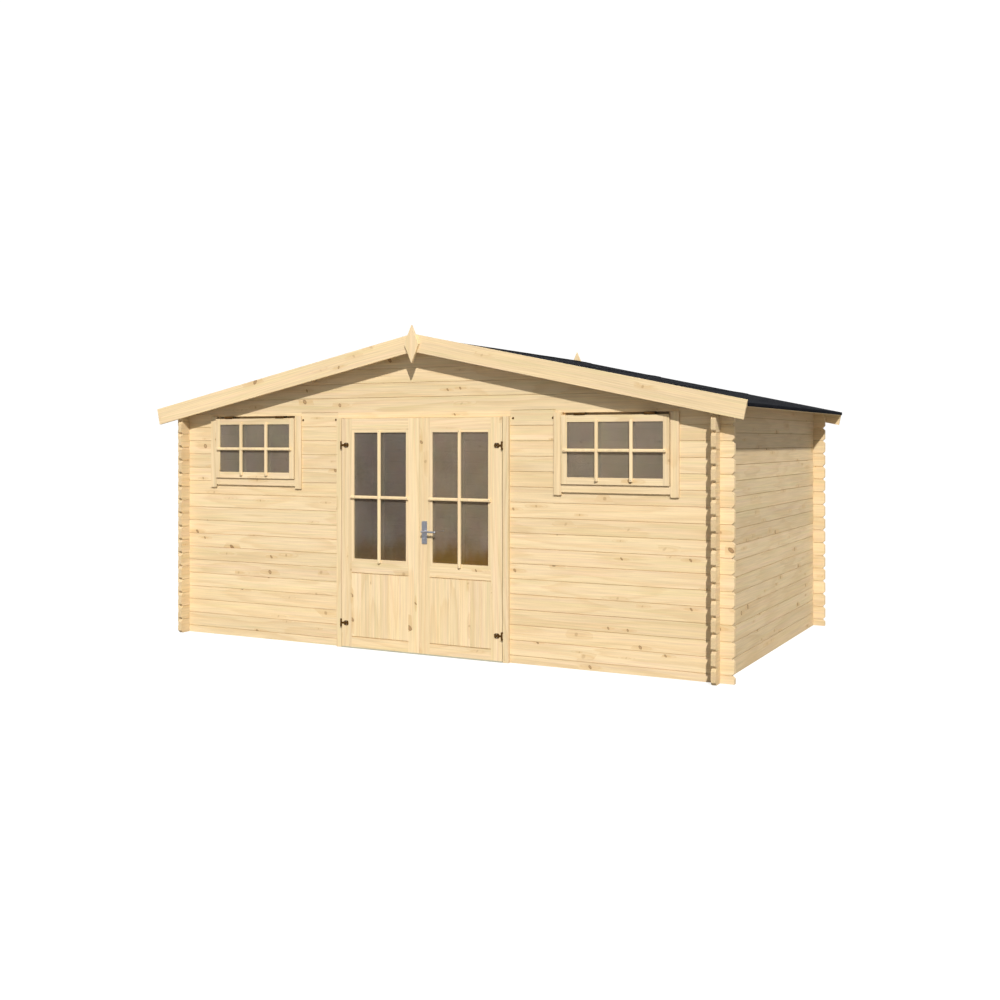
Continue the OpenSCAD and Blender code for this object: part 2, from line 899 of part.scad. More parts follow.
// Boarded panel with a V at every joint, on both faces
module leaf_panel() {
  x0 = pane_x0 + seat_gap;
  pitch = (pane_x1 - pane_x0 - 2 * seat_gap) / panel_boards;
  vee = [for (i = [1 : panel_boards - 1])
    each [[x0 + i * pitch - panel_groove, 0], [x0 + i * pitch, panel_groove],
          [x0 + i * pitch + panel_groove, 0]]];
  back = [for (i = [len(vee) - 1 : -1 : 0]) [vee[i][0], panel_t - vee[i][1]]];
  end = x0 + panel_boards * pitch;
  height = panel_h - 2 * seat_gap;
  translate([0, -frame_proud + panel_recess, panel_z0 + seat_gap])
    difference() {
      linear_extrude(height)
        polygon(concat([[x0, 0]], vee, [[end, 0], [end, panel_t]], back, [[x0, panel_t]]));
      // Grooves along the rails, on both faces
      for (y = [-cut, panel_t * 2 / 3], z = [-cut, height - panel_gap])
        translate([x0 - cut, y, z])
          cube([end - x0 + 2 * cut, panel_t / 3 + cut, panel_gap + cut]);
    }
}

// Glass of a door leaf, let into its beads all round
module leaf_pane(room = 0) {
  inset = bead_w - glass_lap;
  pane(pane_x0 + inset, pane_z0 + inset, pane_x1 - inset, pane_z1 - inset,
       glass_in - frame_proud, glass_t, room);
}

module leaf_beads() {
  edge = bead_w - seat_gap;
  difference() {
    ring(pane_x0 + seat_gap, pane_z0 + seat_gap, pane_x1 - seat_gap, pane_z1 - seat_gap,
         edge, edge, edge, edge, -frame_proud + bead_recess, leaf_t - 2 * bead_recess);
    leaf_pane(seat_gap);
  }
}

// A leaf of the right door, or its mirror image on the left
module leaf(side, colour) {
  color(colour)
    at_front()
      scale_side(side)
        children();
}

module left_door_stiles() { leaf(-1, leaf_colour) leaf_stiles(); }
module left_door_rails() { leaf(-1, leaf_colour) leaf_rails(); }
module left_door_panel() { leaf(-1, leaf_colour) leaf_panel(); }
module left_door_beads() { leaf(-1, leaf_colour) leaf_beads(); }
module left_door_glass() { leaf(-1, glass_colour) leaf_pane(); }
module right_door_rails() { leaf(1, leaf_colour) leaf_rails(); }
module right_door_panel() { leaf(1, leaf_colour) leaf_panel(); }
module right_door_beads() { leaf(1, leaf_colour) leaf_beads(); }
module right_door_glass() { leaf(1, glass_colour) leaf_pane(); }

// The right door's meeting stile is bored for the handle's spindle
module right_door_stiles() {
  leaf(1, leaf_colour)
    difference() {
      leaf_stiles();
      handle_bore(spindle_hole_r);
    }
}

// Round hole through the leaf on the handle's axis
module handle_bore(r) {
  translate([handle_x, -frame_proud - leaf_t, handle_z])
    rotate([-90, 0, 0])
      cylinder(r = r, h = 3 * leaf_t);
}

// Handle plates on both faces of the right door's meeting stile
module handle_plates() {
  color(steel_colour)
    at_front()
      difference() {
        for (y = [-frame_proud - seat_gap, leaf_back + seat_gap + plate_t])
          translate([handle_x, y, plate_z])
            rotate([90, 0, 0])
              linear_extrude(plate_t)
                rounded(plate_w, plate_h, plate_r);
        handle_bore(spindle_r + pin_gap);
      }
}

// One arm of the lever, out of the leaf towards -Y, from the plate's face
module lever_arm() {
  neck_r = lever_r + 1;
  translate([0, -pin_gap, 0])
    rotate([90, 0, 0])
      cylinder(r = neck_r, h = lever_out - pin_gap);
  translate([0, -lever_out, 0]) {
    sphere(neck_r);
    rotate([0, 90, 0])
      cylinder(r = lever_r, h = lever_l - lever_r);
    translate([lever_l - lever_r, 0, 0])
      sphere(lever_r);
  }
}

// Levers on both faces, joined by the spindle
module door_lever() {
  plate_face = frame_proud + seat_gap + plate_t;
  depth = plate_face + leaf_back + seat_gap + plate_t;
  color(steel_colour)
    at_front()
      translate([handle_x, -plate_face, handle_z]) {
        lever_arm();
        translate([0, -lever_r, 0])
          rotate([-90, 0, 0])
            cylinder(r = spindle_r, h = depth + 2 * lever_r);
        translate([0, depth, 0])
          mirror([0, 1, 0])
            lever_arm();
      }
}

front_left_lower_logs();
front_right_lower_logs();
front_left_corner_logs();
front_right_corner_logs();
front_left_pier_logs();
front_right_pier_logs();
front_lintel_log();
front_gable_logs();
back_wall_logs();
back_gable_logs();
left_wall_logs();
right_wall_logs();
purlins();
left_roof_boards();
right_roof_boards();
left_roof_felt();
right_roof_felt();
barge_boards();
finials();
door_frame();
door_threshold();
left_window_frame();
right_window_frame();
left_window_sash();
right_window_sash();
left_window_glass();
right_window_glass();
window_hinges();
floor_boards();
floor_bearers();
door_hinge_pins();
left_door_stiles();
left_door_rails();
left_door_panel();
left_door_beads();
left_door_glass();
left_door_straps();
right_door_stiles();
right_door_rails();
right_door_panel();
right_door_beads();
right_door_glass();
right_door_straps();
handle_plates();
door_lever();
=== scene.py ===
"""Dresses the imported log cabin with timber, felt, glass and ironwork, on a pale studio floor."""

import math
import random

import bmesh
import bpy
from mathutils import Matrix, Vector, noise


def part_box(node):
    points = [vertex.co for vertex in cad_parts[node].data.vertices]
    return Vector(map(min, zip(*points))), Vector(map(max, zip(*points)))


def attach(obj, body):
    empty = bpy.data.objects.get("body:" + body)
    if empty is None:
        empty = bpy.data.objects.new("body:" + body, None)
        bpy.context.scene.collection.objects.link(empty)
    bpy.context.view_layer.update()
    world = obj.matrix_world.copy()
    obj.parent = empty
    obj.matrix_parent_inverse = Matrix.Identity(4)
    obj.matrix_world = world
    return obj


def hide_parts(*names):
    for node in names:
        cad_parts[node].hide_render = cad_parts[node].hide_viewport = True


bl_info = {
    "name": "Log cabin looks",
    "version": (1, 0, 0),
    "blender": (4, 5, 0),
    "location": "View3D > Sidebar > Cabin",
    "description": "Finishes, boards, glazing bars, nails and stage for the log cabin",
    "category": "Object",
}

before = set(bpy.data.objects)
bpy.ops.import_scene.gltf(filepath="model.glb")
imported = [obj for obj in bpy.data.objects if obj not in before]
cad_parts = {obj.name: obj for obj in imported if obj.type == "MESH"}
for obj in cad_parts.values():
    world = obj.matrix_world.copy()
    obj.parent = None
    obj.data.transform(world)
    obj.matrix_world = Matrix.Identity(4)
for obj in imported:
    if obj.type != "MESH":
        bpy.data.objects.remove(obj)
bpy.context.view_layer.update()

LEFT, RIGHT = -1, 1
SIDES = ((LEFT, "left"), (RIGHT, "right"))
DECK_LOW, DECK_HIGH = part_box("right_roof_boards")
FLOOR_LOW, FLOOR_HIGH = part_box("floor_boards")
SASH_LOW, SASH_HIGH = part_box("right_window_sash")
STILES_LOW, STILES_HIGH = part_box("right_door_stiles")
BEADS_LOW, BEADS_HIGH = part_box("right_door_beads")
PLATES_LOW, PLATES_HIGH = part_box("handle_plates")
STRAPS_LOW, STRAPS_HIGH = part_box("right_door_straps")
FRONT_Y = STILES_LOW.y
BACK_Y = STILES_HIGH.y
WINDOW_X = (SASH_LOW.x + SASH_HIGH.x) / 2
LEAF_X = (STILES_LOW.x + STILES_HIGH.x) / 2
WALL_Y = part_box("front_lintel_log")[0].y
BEAD_W = 0.023
FINE_EDGE = 0.0006
SEAT = 0.0002
BAR_FACES = ((FRONT_Y - SEAT, -1), (BACK_Y + SEAT, 1))


class CabinSizes(bpy.types.PropertyGroup):
    """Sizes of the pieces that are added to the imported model."""

    course: bpy.props.FloatProperty(
        name="Log course", description="Height that one log adds to a wall", default=0.114, unit="LENGTH")
    roof_pitch: bpy.props.FloatProperty(
        name="Roof pitch", description="Slope of the roof", default=math.radians(11.8), subtype="ANGLE")
    roof_board_t: bpy.props.FloatProperty(
        name="Roof board thickness", description="Thickness of a roof board", default=0.015, unit="LENGTH")
    roof_board_count: bpy.props.IntProperty(
        name="Roof boards", description="Number of boards on each slope", default=31)
    felt_t: bpy.props.FloatProperty(
        name="Felt thickness", description="Thickness of the roofing felt", default=0.003, unit="LENGTH")
    felt_lip: bpy.props.FloatProperty(
        name="Felt lip", description="Felt turned down at the eave", default=0.025, unit="LENGTH")
    felt_width: bpy.props.FloatProperty(
        name="Felt strip", description="Width of a strip of felt, up the slope", default=0.96, unit="LENGTH")
    felt_lap: bpy.props.FloatProperty(
        name="Felt lap", description="How far a strip lies over the one below", default=0.08, unit="LENGTH")
    floor_board_count: bpy.props.IntProperty(
        name="Floor boards", description="Number of boards in the floor", default=49)
    board_vee: bpy.props.FloatProperty(
        name="Board bevel", description="Bevel along the edges of the boards", default=0.003, unit="LENGTH")
    bar_w: bpy.props.FloatProperty(
        name="Glazing bar width", description="Width of a glazing bar", default=0.0245, unit="LENGTH")
    bar_t: bpy.props.FloatProperty(
        name="Glazing bar thickness", description="Thickness of a glazing bar", default=0.018, unit="LENGTH")
    bar_lap: bpy.props.FloatProperty(
        name="Glazing bar lap", description="How far a bar runs on past the glass", default=0.025, unit="LENGTH")
    nail_r: bpy.props.FloatProperty(
        name="Nail head", description="Radius of a nail's head", default=0.0028, unit="LENGTH")
    slot_d: bpy.props.FloatProperty(
        name="Sash slot depth", description="Depth of the slot over a sash, behind the wall's face", default=0.028,
        unit="LENGTH")
    screw_r: bpy.props.FloatProperty(
        name="Screw head", description="Radius of a screw's head", default=0.0040, unit="LENGTH")
    bolt_r: bpy.props.FloatProperty(
        name="Bolt head", description="Radius of the bolt heads under the lintel log", default=0.009, unit="LENGTH")
    clout_r: bpy.props.FloatProperty(
        name="Clout nail head", description="Radius of a felt nail's head", default=0.005, unit="LENGTH")
    edge: bpy.props.FloatProperty(
        name="Edge rounding", description="Rounding along the edges of the timber", default=0.0012, unit="LENGTH")


class CabinColours(bpy.types.PropertyGroup):
    """Colours of the cabin's finishes, as linear light."""

    spring_wood: bpy.props.FloatVectorProperty(
        name="Spring wood", description="Pale timber between the year rings", subtype="COLOR",
        default=(0.82, 0.65, 0.405), min=0, max=1)
    summer_wood: bpy.props.FloatVectorProperty(
        name="Summer wood", description="Darker line of each year ring", subtype="COLOR",
        default=(0.62, 0.40, 0.17), min=0, max=1)
    warm_wood: bpy.props.FloatVectorProperty(
        name="Warm timber", description="Tone that some boards lean to", subtype="COLOR",
        default=(0.75, 0.54, 0.29), min=0, max=1)
    straw_wood: bpy.props.FloatVectorProperty(
        name="Straw tone", description="Greener streaks in the timber", subtype="COLOR",
        default=(0.74, 0.62, 0.34), min=0, max=1)
    rose_wood: bpy.props.FloatVectorProperty(
        name="Rose tone", description="Pinker streaks in the timber", subtype="COLOR",
        default=(0.84, 0.62, 0.43), min=0, max=1)
    knot: bpy.props.FloatVectorProperty(
        name="Knot", description="Heart of a knot", subtype="COLOR", default=(0.30, 0.155, 0.06), min=0, max=1)
    knot_rim: bpy.props.FloatVectorProperty(
        name="Knot rim", description="Bark round a knot", subtype="COLOR", default=(0.15, 0.07, 0.028), min=0, max=1)
    felt: bpy.props.FloatVectorProperty(
        name="Felt", description="Roofing felt", subtype="COLOR", default=(0.0050, 0.0058, 0.0084), min=0, max=1)
    # Pane colours are partly haze and partly painted reflection and painted room view; each door and the windows get
    # their own tone, and the lower colours paint a reflection at the foot of the door panes.
    left_glass: bpy.props.FloatVectorProperty(
        name="Left door glass", description="Haze on the panes of the left door", subtype="COLOR",
        default=(0.160, 0.142, 0.122), min=0, max=1)
    left_glass_foot_reflection: bpy.props.FloatVectorProperty(
        name="Left door glass below", description="Haze at the foot of those panes", subtype="COLOR",
        default=(0.135, 0.094, 0.045), min=0, max=1)
    right_glass: bpy.props.FloatVectorProperty(
        name="Right door glass", description="Haze on the panes of the right door", subtype="COLOR",
        default=(0.248, 0.205, 0.150), min=0, max=1)
    right_glass_foot_reflection: bpy.props.FloatVectorProperty(
        name="Right door glass below", description="Haze at the foot of those panes", subtype="COLOR",
        default=(0.188, 0.104, 0.018), min=0, max=1)
    window_glass: bpy.props.FloatVectorProperty(
        name="Window glass", description="Haze on the panes of the windows", subtype="COLOR",
        default=(0.245, 0.215, 0.165), min=0, max=1)
    iron: bpy.props.FloatVectorProperty(
        name="Hinge iron", description="Bronzed iron of the hinges", subtype="COLOR",
        default=(0.085, 0.037, 0.005), min=0, max=1)
    steel: bpy.props.FloatVectorProperty(
        name="Handle steel", description="Satin steel of the handle", subtype="COLOR",
        default=(0.46, 0.47, 0.52), min=0, max=1)
    threshold: bpy.props.FloatVectorProperty(
        name="Threshold", description="Grey coated metal of the threshold", subtype="COLOR",
        default=(0.54, 0.53, 0.42), min=0, max=1)
    floor: bpy.props.FloatVectorProperty(
        name="Studio floor", description="Pale floor of the stage", subtype="COLOR",
        default=(0.30, 0.30, 0.30), min=0, max=1)


def math_node(operation, reflected=False):
    """A method that adds one Math node, with its values turned round in a reflected form."""
    def method(self, *others):
        values = (*others, self) if reflected else (self, *others)
        return self.paint.node("ShaderNodeMath", {"operation": operation}, dict(enumerate(values)))
    return method


class Field:
    """A value in a node tree; arithmetic on it adds Math nodes."""

    __add__, __radd__ = math_node("ADD"), math_node("ADD", True)
    __sub__, __rsub__ = math_node("SUBTRACT"), math_node("SUBTRACT", True)
    __mul__, __rmul__ = math_node("MULTIPLY"), math_node("MULTIPLY", True)
    __truediv__, __rtruediv__ = math_node("DIVIDE"), math_node("DIVIDE", True)
    __gt__, __lt__ = math_node("GREATER_THAN"), math_node("LESS_THAN")
    __abs__, floor, fract = math_node("ABSOLUTE"), math_node("FLOOR"), math_node("FRACT")
    root, most = math_node("SQRT"), math_node("MAXIMUM")

    def __init__(self, paint, socket):
        self.paint = paint
        self.socket = socket

    def rise(self, low, high):
        """A smooth step from 0 at low to 1 at high."""
        return self.paint.node("ShaderNodeMapRange", {"interpolation_type": "SMOOTHSTEP"},
                               {"Value": self, "From Min": low, "From Max": high})


class Paint:
    """One material or world, and the nodes that make it."""

    def __init__(self, name, store="materials"):
        self.owner = getattr(bpy.data, store).new(name)
        self.owner.use_nodes = True
        self.tree = self.owner.node_tree
        self.tree.nodes.clear()

    def node(self, kind, settings=None, sockets=None, outputs=0):
        """Adds a node: its settings first, then its sockets' values or links. Gives one output, or several."""
        made = self.tree.nodes.new(kind)
        for key, value in (settings or {}).items():
            setattr(made, key, value)
        for key, value in (sockets or {}).items():
            if isinstance(value, Field):
                self.tree.links.new(value.socket, made.inputs[key])
            else:
                made.inputs[key].default_value = value
        if isinstance(outputs, (list, tuple)):
            return [Field(self, made.outputs[key]) for key in outputs]
        return Field(self, made.outputs[outputs])

    def split(self, vector):
        """The three parts of a vector or colour."""
        return self.node("ShaderNodeSeparateXYZ", None, {0: vector}, (0, 1, 2))

    def join(self, x, y, z):
        """A vector from three values."""
        return self.node("ShaderNodeCombineXYZ", None, {0: x, 1: y, 2: z})

    def place(self):
        """Where a point lies in the cabin, in metres."""
        return self.split(self.node("ShaderNodeTexCoord", None, None, "Object"))

    def facing(self):
        """The way a surface faces, in the cabin's axes."""
        return self.split(self.node("ShaderNodeTexCoord", None, None, "Normal"))

    def cloud(self, x, y, z, detail=2.0, roughness=0.5, outputs=0):
        """Soft noise at a point that is already to scale."""
        return self.node("ShaderNodeTexNoise", None,
                         {"Vector": self.join(x, y, z), "Scale": 1.0, "Detail": detail, "Roughness": roughness},
                         outputs)

    def mix(self, factor, first, second, blend="MIX"):
        """Two colours, mixed."""
        return self.node("ShaderNodeMix", {"data_type": "RGBA", "blend_type": blend, "clamp_factor": True},
                         {0: factor, 6: first, 7: second}, 2)

    def shade(self, colour, value):
        """A colour made lighter or darker by a value."""
        return self.mix(1.0, colour, self.join(value, value, value), "MULTIPLY")

    def bump(self, height, depth, strength=1.0):
        """A surface normal from a height between 0 and 1 over a real depth."""
        return self.node("ShaderNodeBump", None, {"Height": height, "Distance": depth, "Strength": strength}, "Normal")

    def surface(self, **sockets):
        """Ends the material in one Principled shader."""
        named = {key.replace("_", " "): value for key, value in sockets.items()}
        shader = self.node("ShaderNodeBsdfPrincipled", None, named)
        self.node("ShaderNodeOutputMaterial", None, {"Surface": shader}, ())
        return self.owner


def rgba(colour):
    """A colour property with full cover."""
    return (colour[0], colour[1], colour[2], 1.0)


def lying_x(vector, point):
    """Grain along X in an upright board that faces Y. Turns a vector at a point to along, across and through."""
    x, y, z = vector
    return x, z, y


def lying_y(vector, point):
    """Grain along Y in an upright board that faces X."""
    x, y, z = vector
    return y, z, x


def flat_y(vector, point):
    """Grain along Y in a board that lies flat."""
    x, y, z = vector
    return y, x, z


def standing(vector, point):
    """Grain upright in a board that faces Y."""
    x, y, z = vector
    return z, x, y


def framed(centre, half):
    """Upright grain in the stiles outside half a width from the centre, level grain in the rails between them."""
    def turn(vector, point):
        x, y, z = vector
        stile = abs(abs(point[0]) - centre) > half
        return x + (z - x) * stile, z + (x - z) * stile, y
    return turn


def sloping(pitch, faces_up):
    """Grain down the roof slope, in boards that face Y, or that lie on the roof."""
    def turn(vector, point):
        x, y, z = vector
        along = abs(x) * math.cos(pitch) - z * math.sin(pitch)
        out = abs(x) * math.sin(pitch) + z * math.cos(pitch)
        return (along, y, out) if faces_up else (along, out, y)
    return turn


def timber(name, turn, pitch=1.0, origin=0.0, part=0.0, seed=0.0, knots=1.0, tone=1.0, warmth=0.3,
           paired=False, painted_side_shade=0.0):
    """Planed spruce. Boards are told apart by their place across the grain, and by their part along it if one is given.

    Paired boards differ from right to left, and the last argument paints shade on the faces that look right and left.
    """
    colours = bpy.context.scene.cabin_colours
    cell, knot_share, ring_w = 0.165, 0.36, 0.0034
    paint = Paint(name)
    point = paint.place()
    along, across, depth = turn(point, point)
    facing = paint.facing()
    ends = abs(turn(facing, point)[0]).rise(0.6, 0.85)
    # Painted shade: faces that look right or left are darkened by the side-shade amount.
    side_shade_mask = abs(facing[0]).rise(0.6, 0.85) * painted_side_shade
    row = ((across - origin) / pitch).floor()
    local = across - origin - (row + 0.5) * pitch
    length = (along / part).floor() + seed * 5.0 if part else seed * 5.0
    hand = (point[0] > 0.0) * 3.1 + seed if paired else seed
    lot = paint.join(row + seed * 17.0, length, hand)
    rand_a, rand_b, rand_c = paint.split(paint.node("ShaderNodeTexWhiteNoise", None, {"Vector": lot}, "Color"))
    far = along + rand_c * 60.0 + seed

    knot_x, knot_y = far / cell, across / cell + seed * 3.7
    spot, cell_random = paint.node("ShaderNodeTexVoronoi", {"voronoi_dimensions": "2D"},
                                   {"Vector": paint.join(knot_x, knot_y, 0.0), "Scale": 1.0}, ("Position", "Color"))
    spot_x, spot_y, unused = paint.split(spot)
    pick, size, age = paint.split(cell_random)
    wobble = paint.cloud(far * 70.0, across * 70.0, depth * 40.0, 2.0)
    run, rise = (knot_x - spot_x) * cell, (knot_y - spot_y) * cell
    slant = run + rise * (age - 0.5) * 1.3
    reach = (slant * slant + rise * rise * (0.35 + 0.65 * size)).root() + (wobble - 0.5) * 0.005
    feather = (slant * slant * 0.035 + rise * rise).root() + (wobble - 0.5) * 0.003
    there = pick < knot_share * knots
    radius = 0.0055 + size * size * 0.0125
    heart = (1.0 - (reach / radius).rise(0.45, 1.15)) * there
    rim = (1.0 - abs(reach / radius - 0.95).rise(0.06, 0.36)) * there * (age > 0.62)
    halo = (1.0 - (feather / radius).rise(0.5, 2.6)) * there

    drift_a, drift_b, unused = paint.split(
        paint.cloud(far * 0.7, row * 7.3 + seed, 0.5, 1.0, 0.4, "Color"))
    wave = paint.cloud(far * 1.3, across * 24.0, depth * 24.0, 2.0, 0.5)
    deep = depth - (rand_a - 0.5) * 0.22 - (drift_a - 0.5) * 0.02
    wide = local - (rand_b - 0.5) * 0.11 - (drift_b - 0.5) * 0.035
    ring = ((deep * deep + wide * wide).root() + halo * 0.005 + (wave - 0.5) * 0.0035) / ring_w
    year = ring.fract()
    summer = year.rise(0.35, 0.9) * (1.0 - year.rise(0.9, 1.0))
    fibre = paint.cloud(far * 8.0, across * 560.0, depth * 560.0, 2.0, 0.6)
    streak = paint.cloud(far * 2.4, across * 95.0, depth * 95.0, 3.0, 0.6)
    band = paint.cloud(far * 0.8, across * 30.0, depth * 30.0, 2.0, 0.5)
    hue = paint.cloud(far * 1.2 + 31.0, across * 34.0, depth * 34.0, 2.0, 0.55)

    colour = paint.mix(summer * (0.12 + 0.36 * streak), rgba(colours.spring_wood), rgba(colours.summer_wood))
    colour = paint.mix(hue.rise(0.50, 0.72) * 0.55, colour, rgba(colours.straw_wood))
    colour = paint.mix((1.0 - hue.rise(0.28, 0.48)) * 0.5, colour, rgba(colours.rose_wood))
    lean = rand_a * warmth + (band - 0.5) * 0.55 + ends * 0.25
    colour = paint.mix(lean, colour, rgba(colours.warm_wood))
    grain = 1.0 + (streak - 0.5) * 0.50 + (band - 0.5) * 0.22 + (fibre - 0.5) * 0.10
    # The last factor is painted shade on the faces that look right and left.
    colour = paint.shade(colour, tone * (0.94 + 0.10 * rand_b) * grain * (1.0 - side_shade_mask))
    colour = paint.mix(halo * (0.16 + 0.34 * age), colour, rgba(colours.summer_wood))
    colour = paint.mix(heart * (0.25 + 0.60 * age * age), colour, rgba(colours.knot))
    colour = paint.mix(rim * 0.7, colour, rgba(colours.knot_rim))
    height = summer * 0.35 + fibre * 0.4 + streak * 0.2 - rim * 0.5
    return paint.surface(
        Base_Color=colour,
        Roughness=0.56 + fibre * 0.14 - heart * 0.12 - summer * 0.05,
        Specular_IOR_Level=0.25,
        Normal=paint.bump(height, 0.0005, 0.5),
    )


def mineral_felt(name):
    """Black roofing felt with a skin of slate grains."""
    colours = bpy.context.scene.cabin_colours
    paint = Paint(name)
    x, y, z = paint.place()
    spot = paint.join(x / 0.0022, y / 0.0022, z / 0.0022)
    grain_random = paint.node("ShaderNodeTexVoronoi", None, {"Vector": spot, "Scale": 1.0}, "Color")
    grain, glint, unused = paint.split(grain_random)
    weather = paint.cloud(x * 2.2, y * 2.2, z * 2.2, 4.0, 0.6)
    run_off = paint.cloud(x * 0.7, y * 14.0, z * 0.7, 3.0, 0.6)
    slate = paint.cloud(x * 75.0, y * 75.0, z * 75.0, 2.0, 0.7)
    light = 0.70 + grain * 0.70 + (weather - 0.5) * 2.0 + (run_off - 0.5) * 1.3 + (slate - 0.5) * 2.2
    colour = paint.shade(rgba(colours.felt), light.most(0.15))
    dust = weather.rise(0.50, 0.68) * run_off.rise(0.42, 0.62)
    colour = paint.mix(dust * (0.04 + 0.12 * slate), colour, (0.058, 0.058, 0.056, 1.0))
    colour = paint.mix((glint > 0.95) * 0.30, colour, (0.06, 0.066, 0.078, 1.0))
    return paint.surface(
        Base_Color=colour,
        Roughness=0.82 + grain * 0.14,
        Specular_IOR_Level=0.05,
        Normal=paint.bump(grain + weather * 0.6, 0.0012, 0.6),
    )


def pane_glass(name, above, below, low, high):
    """Clear panes with a colour that is partly a thin haze and partly painted reflection and room view, which changes
    its tone between two heights to a painted reflection at the foot.
    """
    paint = Paint(name)
    x, y, z = paint.place()
    mottle = paint.cloud(x * 5.0, y, z * 4.0, 3.0, 0.55)
    film = paint.cloud(x * 38.0, y, z * 9.0, 2.0, 0.6)
    tint = paint.cloud(x * 9.0 + 7.0, y, z * 5.0, 2.0, 0.5, "Color")
    # Painted reflection: below the band from low to high the colour turns to the one below.
    foot = z + (mottle - 0.5) * 0.25 + (film - 0.5) * 0.10
    down = 1.0 - foot.rise(low, high)
    colour = paint.mix(down, rgba(above), rgba(below))
    colour = paint.mix(0.14, colour, tint, "OVERLAY")
    colour = paint.shade(colour, 0.55 + 0.70 * mottle + 0.24 * film)
    return paint.surface(
        Base_Color=colour,
        Roughness=0.04 + film * 0.05,
        IOR=1.5,
        Specular_IOR_Level=0.5,
        Alpha=0.50 - 0.08 * film,
        Normal=paint.bump(mottle, 0.0006, 0.10),
    )


def bronzed_iron(name):
    """Hinge iron with a brown bronzed finish, rubbed in places."""
    colours = bpy.context.scene.cabin_colours
    paint = Paint(name)
    x, y, z = paint.place()
    cast = paint.cloud(x * 160.0, y * 160.0, z * 160.0, 3.0, 0.6)
    rub = paint.cloud(x * 45.0, y * 45.0, z * 45.0, 2.0, 0.5).rise(0.52, 0.72)
    colour = paint.shade(rgba(colours.iron), 0.75 + 0.5 * cast)
    colour = paint.mix(rub * 0.5, colour, (0.24, 0.130, 0.030, 1.0))
    return paint.surface(
        Base_Color=colour, Metallic=0.25 + rub * 0.3, Roughness=0.50 - rub * 0.16 + cast * 0.1,
        Specular_IOR_Level=0.25, Normal=paint.bump(cast, 0.0003, 0.4))


def satin_steel(name, tint, brush_x, brush_z, metal=1.0):
    """Brushed metal; the brush marks run along the axis with the smaller number."""
    paint = Paint(name)
    x, y, z = paint.place()
    brush = paint.cloud(x * brush_x, y * 300.0, z * brush_z, 2.0, 0.6)
    wear = paint.cloud(x * 30.0, y * 30.0, z * 30.0, 3.0, 0.5)
    colour = paint.shade(rgba(tint), 0.84 + 0.22 * brush + 0.12 * wear)
    return paint.surface(
        Base_Color=colour, Metallic=metal, Roughness=0.26 + brush * 0.16 + wear * 0.06,
        Normal=paint.bump(brush, 0.0002, 0.25))


def zinc(name, tint=(0.36, 0.33, 0.28, 1.0)):
    """Dull plated nail and screw heads."""
    paint = Paint(name)
    x, y, z = paint.place()
    spangle = paint.cloud(x * 700.0, y * 700.0, z * 700.0, 1.0)
    colour = paint.shade(tint, 0.7 + 0.5 * spangle)
    return paint.surface(
        Base_Color=colour, Metallic=0.85, Roughness=0.42 + spangle * 0.2, Normal=paint.bump(spangle, 0.0002, 0.3))


def prism(bm, outline, put, start, end):
    """Adds a closed prism: the outline's points (a, b), swept from start to end, each put in space by put(a, b, c)."""
    rings = [[bm.verts.new(put(a, b, c)) for a, b in outline] for c in (start, end)]
    count = len(outline)
    for i in range(count):
        j = (i + 1) % count
        bm.faces.new((rings[0][i], rings[0][j], rings[1][j], rings[1][i]))
    bm.faces.new(rings[0][::-1])
    bm.faces.new(rings[1])


def turned(bm, profile, put, steps=12):
    """Adds a turned solid: profile points (radius, height) between two points on the axis."""
    low = bm.verts.new(put(0.0, 0.0, profile[0][1]))
    high = bm.verts.new(put(0.0, 0.0, profile[-1][1]))
    rings = []
    for radius, height in profile[1:-1]:
        angles = [2 * math.pi * i / steps for i in range(steps)]
        rings.append([bm.verts.new(put(radius * math.cos(t), radius * math.sin(t), height)) for t in angles])
    for i in range(steps):
        j = (i + 1) % steps
        bm.faces.new((low, rings[0][j], rings[0][i]))
        bm.faces.new((high, rings[-1][i], rings[-1][j]))
        for lower, upper in zip(rings, rings[1:]):
            bm.faces.new((lower[i], lower[j], upper[j], upper[i]))


def sheet(bm, rows):
    """Adds one open sheet through rows of points."""
    made = [[bm.verts.new(point) for point in row] for row in rows]
    for a, b in zip(made, made[1:]):
        for i in range(len(a) - 1):
            bm.faces.new((a[i], a[i + 1], b[i + 1], b[i]))


def add_object(name, data):
    """Adds an object with this data to the scene."""
    made = bpy.data.objects.new(name, data)
    bpy.context.scene.collection.objects.link(made)
    return made


def mesh_object(name, bm, material):
    """Turns mesh work into an object with one finish."""
    mesh = bpy.data.meshes.new(name)
    bm.to_mesh(mesh)
    bm.free()
    mesh.materials.append(material)
    return add_object(name, mesh)


def smooth_faces(mesh):
    """Shades every face of a mesh smoothly."""
    mesh.polygons.foreach_set("use_smooth", [True] * len(mesh.polygons))


def piece(name, bm, body, material, edge=0.0, smooth=False, replaces=()):
    """Turns mesh work into a piece that rides on a body and takes a finish."""
    bmesh.ops.recalc_face_normals(bm, faces=bm.faces)
    made = mesh_object(name, bm, material)
    if smooth:
        smooth_faces(made.data)
    if edge:
        ease_edges(made, edge, weld=False)
    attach(made, body)
    if replaces:
        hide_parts(*replaces)
    return made


def moulding(name, outline, put, start, end, body, material, edge=0.0):
    """Adds a piece that is one straight length of an outline."""
    bm = bmesh.new()
    prism(bm, outline, put, start, end)
    piece(name, bm, body, material, edge)


def ease_edges(thing, width, weld=True):
    """Rounds the sharp edges of a piece, as planed and sanded timber has them."""
    if weld:
        joined = thing.modifiers.new("Joined corners", "WELD")
        joined.merge_threshold = 0.00002
    eased = thing.modifiers.new("Eased edges", "BEVEL")
    eased.width = width
    eased.segments = 2
    eased.limit_method = "ANGLE"
    eased.angle_limit = math.radians(32)
    eased.use_clamp_overlap = True
    eased.loop_slide = False
    evened = thing.modifiers.new("Even shading", "WEIGHTED_NORMAL")
    evened.mode = "FACE_AREA"
    evened.weight = 80


